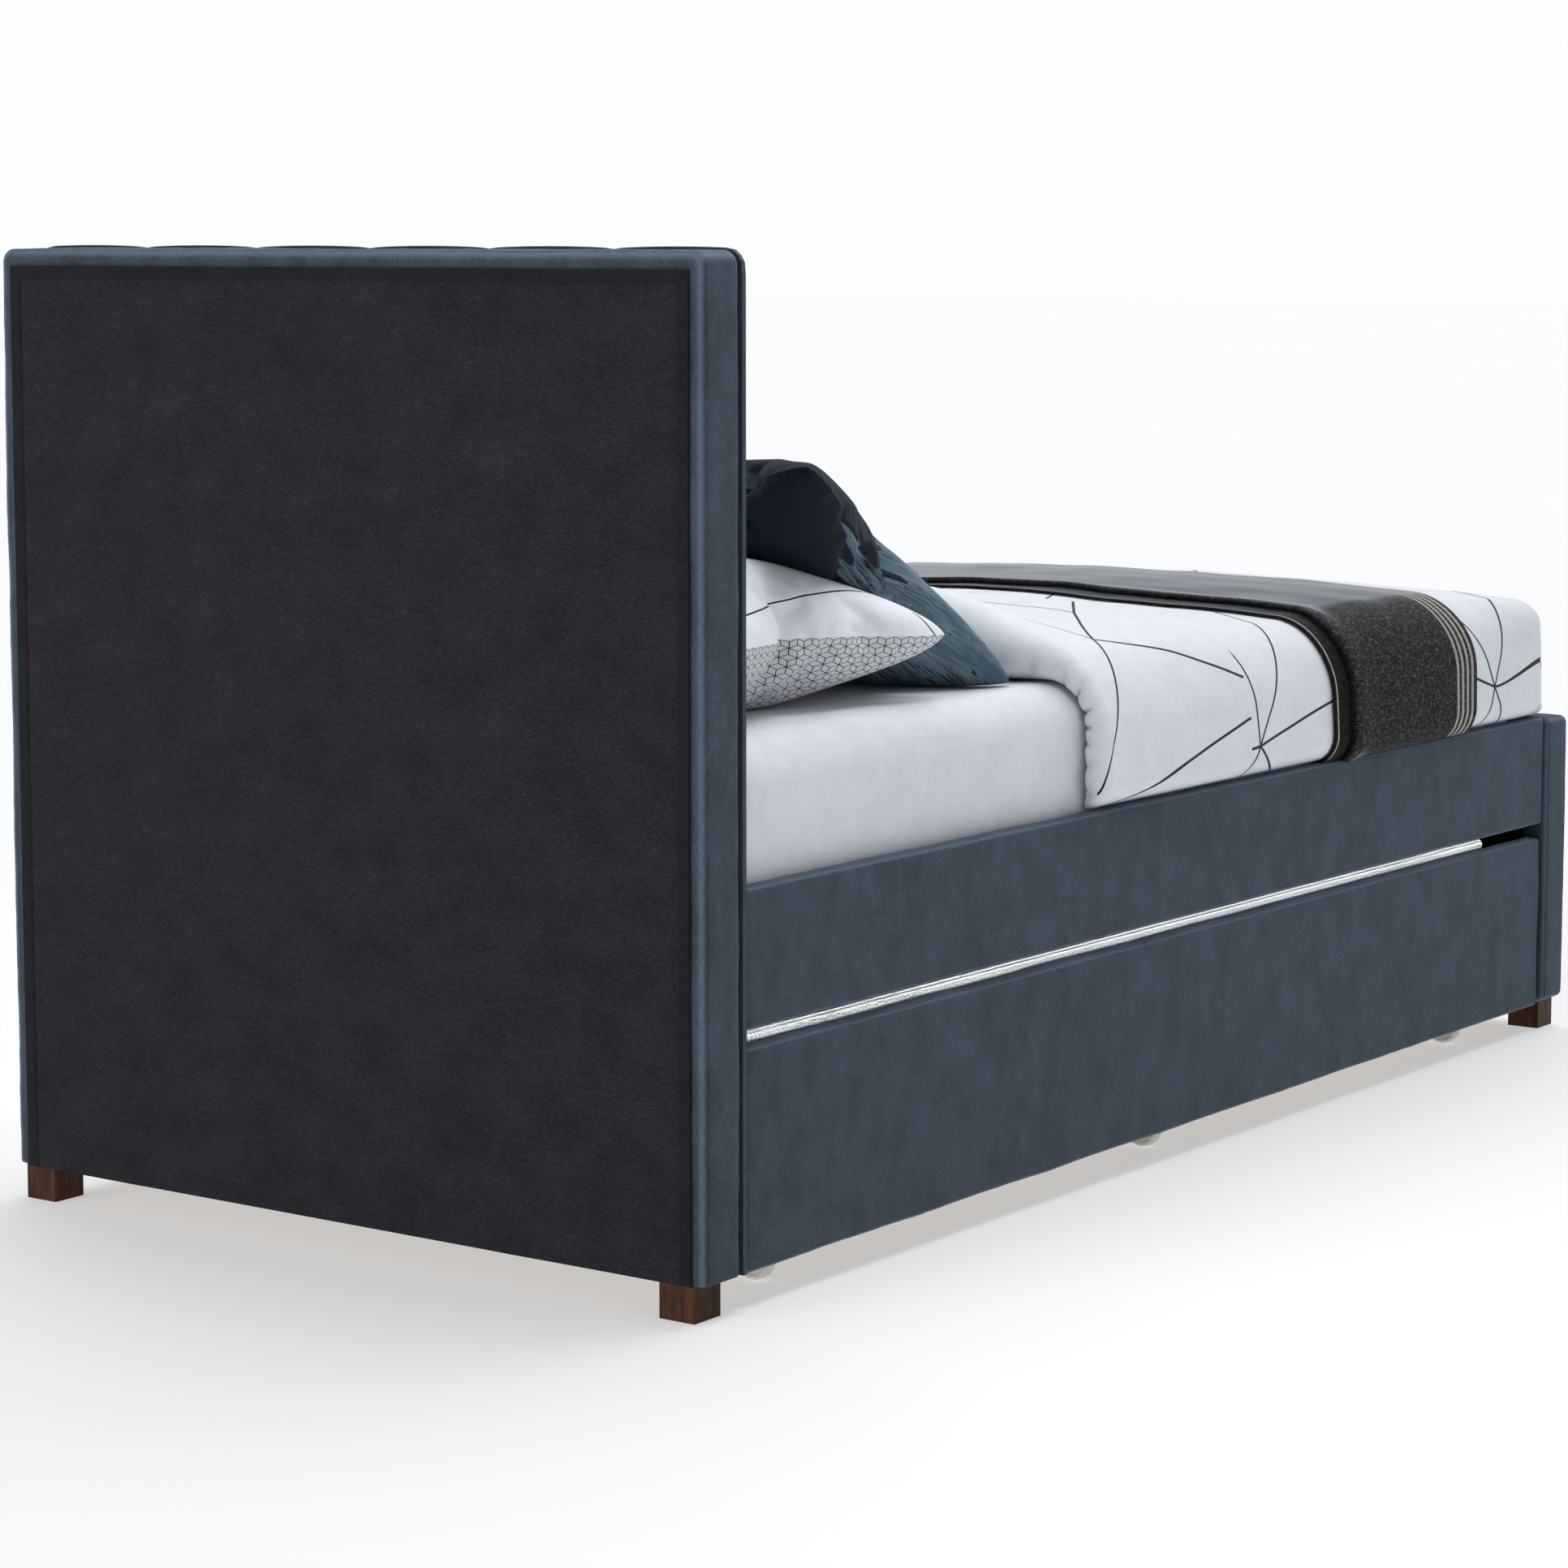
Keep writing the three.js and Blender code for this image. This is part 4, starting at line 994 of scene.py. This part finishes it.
def flap_rows():
    """The folded-back part, thick at the roll and thinner towards its own rounded edge."""
    last = FLAP_END - EDGE_ROUND
    rows = []
    for x in np.linspace(ROLL_CENTRE, last, 52)[1:]:
        weight = math.exp(-(((x - ROLL_CENTRE) / 0.085) ** 2))
        lift = FLAP_HEIGHT + (ROLL_HEIGHT - FLAP_HEIGHT) * weight
        rows.append((swept(HEAD_X + x + roll_shift(x), lift), FLAP_SHIFT + x))
    for a in np.linspace(0, math.pi, 9)[1:]:
        level = 0.5 * (1 + math.cos(a))
        points = swept(HEAD_X + last + EDGE_ROUND * math.sin(a), 0.0005 + FLAP_HEIGHT * level)
        rows.append((points, FLAP_SHIFT + last + EDGE_ROUND * a / 3))
    return rows


def duvet_rows():
    """The duvet's loop of rows, each row's place along the cloth, and the zone it belongs to."""
    zones = (base_rows(), inside_rows(), roll_rows() + flap_rows())
    rows, marks = zip(*zones[0], *zones[1], *zones[2])
    zone_of_row = np.repeat(("base", "inside", "flap"), [len(zone) for zone in zones])
    return np.array(rows), np.array(marks), zone_of_row


def duvet():
    """A filled cover: one closed skin from the top round the foot, along the sheet, and back over as flap."""
    rows, marks, zones = duvet_rows()
    count, columns = rows.shape[:2]
    points = rows.reshape(-1, 3)
    outside = np.repeat(zones != "inside", columns)
    push_rows(points, bedding_waves(points) * np.tile(HEM_FADE, count) * outside)
    faces = grid_quads(count, columns, wrap_rows=True)
    uv = cloth_corners(faces, marks)
    zone_names = zones[faces // columns]
    uv[(zone_names != zone_names[:, :1]).any(axis=1), :, 0] = PLAIN_CLOTH
    piece = make_piece("duvet_cover", points, faces, "bed_frame", [DUVET_COTTON], uv=uv)
    weld(piece, 2e-5)
    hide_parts("duvet")
    return piece


def weld(piece, distance):
    """Joins points that coincide and drops faces with no area."""
    mesh = bmesh.new()
    mesh.from_mesh(piece.data)
    bmesh.ops.remove_doubles(mesh, verts=mesh.verts, dist=distance)
    bmesh.ops.dissolve_degenerate(mesh, edges=mesh.edges, dist=1e-6)
    mesh.to_mesh(piece.data)
    mesh.free()


# ---------- throw ----------
def throw_puff(x):
    """How far the upper layer stands up beside its hem."""
    return 0.0060 * math.exp(-(((x - THROW_TOP_EDGE - 0.012) / 0.034) ** 2))


def throw_profile(cloth, turn=0.009):
    """Places along the bed and lifts: along the under layer, round the fold, back, and round the hem."""
    under, over = 0.0024, 0.0060
    middle, outer = (under + over) / 2, (over - under) / 2
    edge_start = THROW_TOP_EDGE + turn
    edge_top = over + throw_puff(edge_start)
    edge_middle, edge_half = (edge_top + under + cloth) / 2, (edge_top - under - cloth) / 2
    profile = [(x, under) for x in np.linspace(THROW_HEM, THROW_FOLD, 50)]
    for a in np.linspace(-math.pi / 2, math.pi / 2, 9)[1:-1]:
        profile.append((THROW_FOLD + outer * math.cos(a), middle + outer * math.sin(a)))
    profile += [(x, over + throw_puff(x)) for x in np.linspace(THROW_FOLD, edge_start, 54)]
    for a in np.linspace(math.pi / 2, -math.pi / 2, 12)[1:]:
        profile.append((edge_start - turn * math.cos(a), edge_middle + edge_half * math.sin(a)))
    return profile


def throw_blanket():
    """A woven throw folded in two along its length: fold towards the foot, both hems towards the head."""
    cloth = 0.0022
    profile = throw_profile(cloth)
    wander = 0.004 * np.sin(CLOTH_ACROSS * 7.0 + 0.4) + 0.0015 * np.sin(CLOTH_ACROSS * 23.0)
    points = np.concatenate([swept(HEAD_X + x + wander, lift) for x, lift in profile])
    base = np.concatenate([swept(HEAD_X + x + wander, 0.0) for x, _ in profile])
    push_rows(points, bedding_waves(base) * np.tile(HEM_FADE, len(profile)) + 0.0012)
    faces = grid_quads(len(profile), len(OUTER))
    uv = cloth_corners(faces, np.array([x for x, _ in profile]))
    piece = make_piece("throw_blanket_cloth", points, faces, "bed_frame", [THROW], uv=uv)
    thicken(piece, cloth, 0)
    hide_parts("throw_blanket")


# ---------- sheet and mattress ----------
def crease_across(points, normals):
    """1 along one soft crease in the sheet's top near the head, on the near side."""
    across = (points[:, 0] - HEAD_X - 0.45) * 0.10 + (points[:, 1] - BED_LOW.y - 0.058)
    crease = np.exp(-((across / 0.014) ** 2)) * smooth_step(points[:, 0], HEAD_X + 0.26, HEAD_X + 0.38)
    return crease * smooth_step(HEAD_X + 0.58 - points[:, 0], 0.0, 0.1) * (normals[:, 2] > 0.3)


def fitted_sheet():
    """A fitted sheet drawn over the mattress, open underneath, with shallow drag lines."""
    low, high = SHEET_LOW, SHEET_HIGH
    points, normals, faces = soft_box(low, high, (0.045, MATTRESS_ROUND, MATTRESS_ROUND), 0.011, 9)
    faces = faces[points[faces][:, :, 2].min(axis=1) > low.z + 0.0005]
    drag = ripples(points * (0.35, 1, 0.35), 0.10, 51) * 0.0007 + ripples(points, 0.26, 52) * 0.0012
    lift = drag * 0.8 - 0.0012 + crease_across(points, normals) * 0.0030
    points = points + normals * lift[:, None]
    used, faces = np.unique(faces, return_inverse=True)
    faces = faces.reshape(-1, 4)
    piece = make_piece("fitted_sheet_cloth", points[used], faces, "bed_frame", [SHEET_COTTON])
    thicken(piece, 0.0008, -1)
    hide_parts("fitted_sheet")


def mattress():
    """The mattress under the sheet, its border drawn in along a seam above and below the middle."""
    low, high = MATTRESS_LOW, MATTRESS_HIGH
    points, normals, faces = soft_box(low, high, (0.045, MATTRESS_ROUND, MATTRESS_ROUND), 0.016, 7)
    from_middle = np.abs(points[:, 2] - (low.z + high.z) / 2)
    seam = np.exp(-(((from_middle - 0.085) / 0.004) ** 2)) * (np.abs(normals[:, 2]) < 0.3)
    points = points + normals * (-0.003 - 0.0015 * seam + ripples(points, 0.2, 61) * 0.0006)[:, None]
    points[:, 2] = np.maximum(points[:, 2], low.z + 0.0002)
    piece = make_piece("mattress_ticking_pad", points, faces, "bed_frame", [TICKING])
    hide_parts("mattress")


def trundle_mattress():
    """The lower mattress: knit cover, rounded edges and a slightly waisted border."""
    low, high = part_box("trundle_mattress")
    points, normals, faces = soft_box(low, high, (0.045, 0.045, 0.013), 0.014, 6)
    height = (points[:, 2] - low.z) / (high.z - low.z)
    waist = (np.abs(normals[:, 2]) < 0.5) * np.sin(np.pi * height) * 0.0025
    uneven = ripples(points, 0.22, 71) * 0.0012 + ripples(points, 0.06, 72) * 0.0004
    points = points + normals * (uneven - waist - 0.0012)[:, None]
    points[:, 2] = np.maximum(points[:, 2], low.z + 0.0002)
    piece = make_piece("trundle_mattress_cover", points, faces, "trundle", [KNIT])
    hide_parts("trundle_mattress")


# ---------- pillows ----------
def sewn_case(length, width, steps_x, steps_y, start_gap):
    """Two flat panels sewn together round the edge, a little apart in the middle."""
    x, y = np.meshgrid(np.linspace(-0.5, 0.5, steps_x), np.linspace(-0.5, 0.5, steps_y), indexing="ij")
    bulge = start_gap * (1 - (2 * x) ** 2) * (1 - (2 * y) ** 2)
    upper = np.stack([x * length, y * width, bulge], axis=-1).reshape(-1, 3)
    lower = upper * (1, 1, -1)
    quads = grid_quads(steps_x, steps_y)
    faces = np.concatenate([quads, quads[:, ::-1] + len(upper)])
    cloth = np.concatenate([upper[:, :2], lower[:, :2]])
    return np.concatenate([upper, lower]), faces, cloth, len(quads)


def mesh_points(mesh):
    """A mesh's points as an array with a row for each."""
    points = np.empty(len(mesh.vertices) * 3)
    mesh.vertices.foreach_get("co", points)
    return points.reshape(-1, 3)


def inflate(piece):
    """Blows the case up with cloth simulation, so that the seams pucker, and keeps the result."""
    last_frame = 24
    cloth = piece.modifiers.new("inflate", "CLOTH")
    settings = cloth.settings
    settings.quality = 5
    settings.mass = 0.25
    settings.tension_stiffness = 25
    settings.compression_stiffness = 25
    settings.shear_stiffness = 8
    settings.bending_stiffness = 0.35
    settings.air_damping = 4
    settings.use_pressure = True
    settings.uniform_pressure_force = 6.0
    settings.effector_weights.gravity = 0
    cloth.point_cache.frame_start = 1
    cloth.point_cache.frame_end = last_frame
    scene = bpy.context.scene
    for number in range(1, last_frame + 1):
        scene.frame_set(number)
    filled = piece.evaluated_get(bpy.context.evaluated_depsgraph_get())
    points = mesh_points(filled.to_mesh())
    filled.to_mesh_clear()
    piece.modifiers.remove(cloth)
    scene.frame_set(1)
    return points


def fuller_sides(shape):
    """Lets the middle of each side out a little and draws the four corners in."""
    fill_out, soften = 0.055, 0.06
    half = np.abs(shape).max(axis=0)
    u, v = shape[:, 0] / half[0], shape[:, 1] / half[1]
    corner = (u * v) ** 6
    x = shape[:, 0] * (1 + fill_out * (1 - v**2) * u**4 - soften * corner)
    y = shape[:, 1] * (1 + fill_out * (1 - u**2) * v**4 - soften * corner)
    return np.stack([x, y, shape[:, 2]], axis=1)


def crease_seam(piece):
    """Keeps the fold sharp where the two panels of a case are sewn together."""
    mesh = bmesh.new()
    mesh.from_mesh(piece.data)
    crease = mesh.edges.layers.float.new("crease_edge")
    for edge in mesh.edges:
        if len({face.material_index for face in edge.link_faces}) == 2:
            edge[crease] = 1.0
            edge.smooth = False
    mesh.to_mesh(piece.data)
    mesh.free()


def push_out(points, obstacle, gap):
    """Moves points that lie in an obstacle, or closer than gap, out to its surface."""
    for i, point in enumerate(points):
        place, normal, _, _ = obstacle.find_nearest(Vector(point), 0.09)
        if place is None:
            continue
        outside = (Vector(point) - place).dot(normal)
        if outside < gap:
            points[i] = place + normal * gap
    return points


def surface_of(piece):
    """A piece's surface, to press other pieces against."""
    graph = bpy.context.evaluated_depsgraph_get()
    return BVHTree.FromObject(piece, graph)


def laid_down(shape, size, turn, centre):
    """Fits a filled case to its size, tips it about the bed's width and sets it down flat on the sheet."""
    middle = (shape.max(axis=0) + shape.min(axis=0)) / 2
    extent = shape.max(axis=0) - shape.min(axis=0)
    shape = (shape - middle) * (np.array(size) / extent)
    tip = np.array(Matrix.Rotation(math.radians(turn), 3, "Y"))
    shape = shape @ tip.T + np.array(centre)
    shape[:, 2] = np.maximum(shape[:, 2], SHEET_HIGH.z + 0.0012)
    return shape


def pillow(name, node, size, turn, centre, materials, obstacles):
    """A pillow: an inflated case, fitted to its size, laid in place and pressed against what it rests on."""
    length, width = (2 * half for half in case_half(size))
    points, faces, cloth, upper_count = sewn_case(length, width, 61, 71, 0.012)
    panel = (np.arange(len(faces)) >= upper_count).astype(int)
    piece = make_piece(
        name, points, faces, "bed_frame", materials, uv=cloth[faces], face_material=panel
    )
    weld(piece, 1e-6)
    crease_seam(piece)
    shape = inflate(piece)
    shape = laid_down(fuller_sides(shape), size, turn, centre)
    for obstacle in obstacles:
        shape = push_out(shape, obstacle, 0.0015)
    piece.data.vertices.foreach_set("co", shape.ravel())
    piece.data.update()
    finer = piece.modifiers.new("finer", "SUBSURF")
    finer.levels = finer.render_levels = 1
    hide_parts(node)
    return piece


# ---------- light, floor, camera ----------
def sky():
    """Even white behind the bed, and a cool glow that is strongest from above and from the foot's side."""
    world = bpy.data.worlds.new("studio")
    bpy.context.scene.world = world
    world.use_nodes = True
    nodes, links = world.node_tree.nodes, world.node_tree.links
    ambient = nodes["Background"]
    ambient.inputs["Color"].default_value = (0.90, 0.945, 1.0, 1)
    direction = nodes.new("ShaderNodeTexCoord")
    toward = nodes.new("ShaderNodeVectorMath")
    toward.operation = "DOT_PRODUCT"
    toward.inputs[1].default_value = Vector((0.8, 0.1, 0.6)).normalized()
    level = nodes.new("ShaderNodeMapRange")
    level.inputs["From Min"].default_value = -0.6
    level.inputs["To Min"].default_value = 0.0
    level.inputs["To Max"].default_value = 0.63
    backdrop = nodes.new("ShaderNodeBackground")
    backdrop.inputs["Color"].default_value = (0.98, 0.985, 0.99, 1)
    seen = nodes.new("ShaderNodeLightPath")
    mix = nodes.new("ShaderNodeMixShader")
    links.new(direction.outputs["Generated"], toward.inputs[0])
    links.new(toward.outputs["Value"], level.inputs["Value"])
    links.new(level.outputs[0], ambient.inputs["Strength"])
    links.new(seen.outputs["Is Camera Ray"], mix.inputs[0])
    links.new(ambient.outputs[0], mix.inputs[1])
    links.new(backdrop.outputs[0], mix.inputs[2])
    links.new(mix.outputs[0], nodes["World Output"].inputs[0])


def pale_floor():
    """A floor as bright as the backdrop, so that only the bed's shadow shows on it."""
    finish = Finish("pale_floor", 0.9, 0.1)
    tone = finish.noise(finish.place(), 0.7, 2)
    finish.colour(finish.blend(tone, (0.50, 0.50, 0.50), (0.52, 0.52, 0.52)))
    finish.shader.inputs["Emission Color"].default_value = (1, 1, 1, 1)
    finish.shader.inputs["Emission Strength"].default_value = 0.45
    reach = 60.0
    corners = [(-reach, -reach, 0), (reach, -reach, 0), (reach, reach, 0), (-reach, reach, 0)]
    mesh = bpy.data.meshes.new("floor")
    mesh.from_pydata(corners, [], [(0, 1, 2, 3)])
    mesh.materials.append(finish.material)
    floor = bpy.data.objects.new("floor", mesh)
    bpy.context.scene.collection.objects.link(floor)


def studio():
    """A white studio: light from above and behind the headboard, and small lights for the near side."""
    sky()
    sky_light("top_light", (0.6, 0.2, 1.0), 1.9, 55)
    sky_light("back_light", (-1.0, 0.35, 0.14), 2.2, 40)
    soft_light("side_light", (-1.5, -5.0, 0.8), (0.3, -0.4, 0.3), 2.0, 8)
    soft_light("pillow_light", (-0.80, -0.75, 2.6), (-0.80, -0.20, 0.65), 0.7, 12)
    gap_light()
    view = bpy.context.scene.view_settings
    view.view_transform = "Standard"
    view.look = "None"
    pale_floor()


def lamp(name, kind, power, toward, place=(0, 0, 0)):
    """A lamp at a place that shines away from toward; its data is returned for the rest of its settings."""
    light = bpy.data.lights.new(name, kind)
    light.energy = power
    holder = bpy.data.objects.new(name, light)
    holder.location = place
    holder.rotation_euler = Vector(toward).to_track_quat("Z", "Y").to_euler()
    bpy.context.scene.collection.objects.link(holder)
    return light


def soft_light(name, place, target, size, power):
    """A round soft light that points at a target."""
    light = lamp(name, "AREA", power, Vector(place) - Vector(target), place)
    light.shape = "DISK"
    light.size = size


def gap_light():
    """A narrow light straight in through the finger gap, so that the lower mattress shows."""
    panel_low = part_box("trundle_front_cover")[0]
    mattress_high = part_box("trundle_mattress")[1]
    light = lamp("gap_light", "AREA", 0.15, (0, -1, 0), (0.0, panel_low.y - 0.03, mattress_high.z - 0.006))
    light.shape = "RECTANGLE"
    light.size = 1.95
    light.size_y = 0.016
    light.spread = math.radians(20)


def sky_light(name, toward, strength, spread):
    """A large soft light from the direction toward, even over the whole floor."""
    lamp(name, "SUN", strength, toward).angle = math.radians(spread)


def camera():
    """A long lens that looks past the headboard's near corner, from the height of its top."""
    data = bpy.data.cameras.new("camera")
    data.sensor_width = 36
    data.lens = 95.14
    data.shift_y = -0.0518
    eye = bpy.data.objects.new("camera", data)
    eye.location = (-4.5148, -3.1268, 1.1628)
    eye.rotation_euler = (math.radians(83.539), 0, math.radians(-54.157))
    bpy.context.scene.collection.objects.link(eye)
    bpy.context.scene.camera = eye


# ---------- assembly ----------
camera()
studio()
keep_frame_nodes()
headboard_border()
headboard_front_pad()
back_cover()
footboard()
side_panels()
caster_wheels()
mattress()
fitted_sheet()
trundle_mattress()
duvet_piece = duvet()
throw_blanket()
white = pillow(
    "pillow_white_case", "pillow_white", WHITE_PILLOW, 2.2, (HEAD_X + 0.337, -0.1055, 0.704),
    [PILLOW_FACE, PILLOW_BACK], [],
)
pillow(
    "pillow_navy_case", "pillow_navy", NAVY_PILLOW, 34, (HEAD_X + 0.545, -0.0875, 0.762),
    [NAVY_FACE, NAVY_BACK], [surface_of(white), surface_of(duvet_piece)],
)
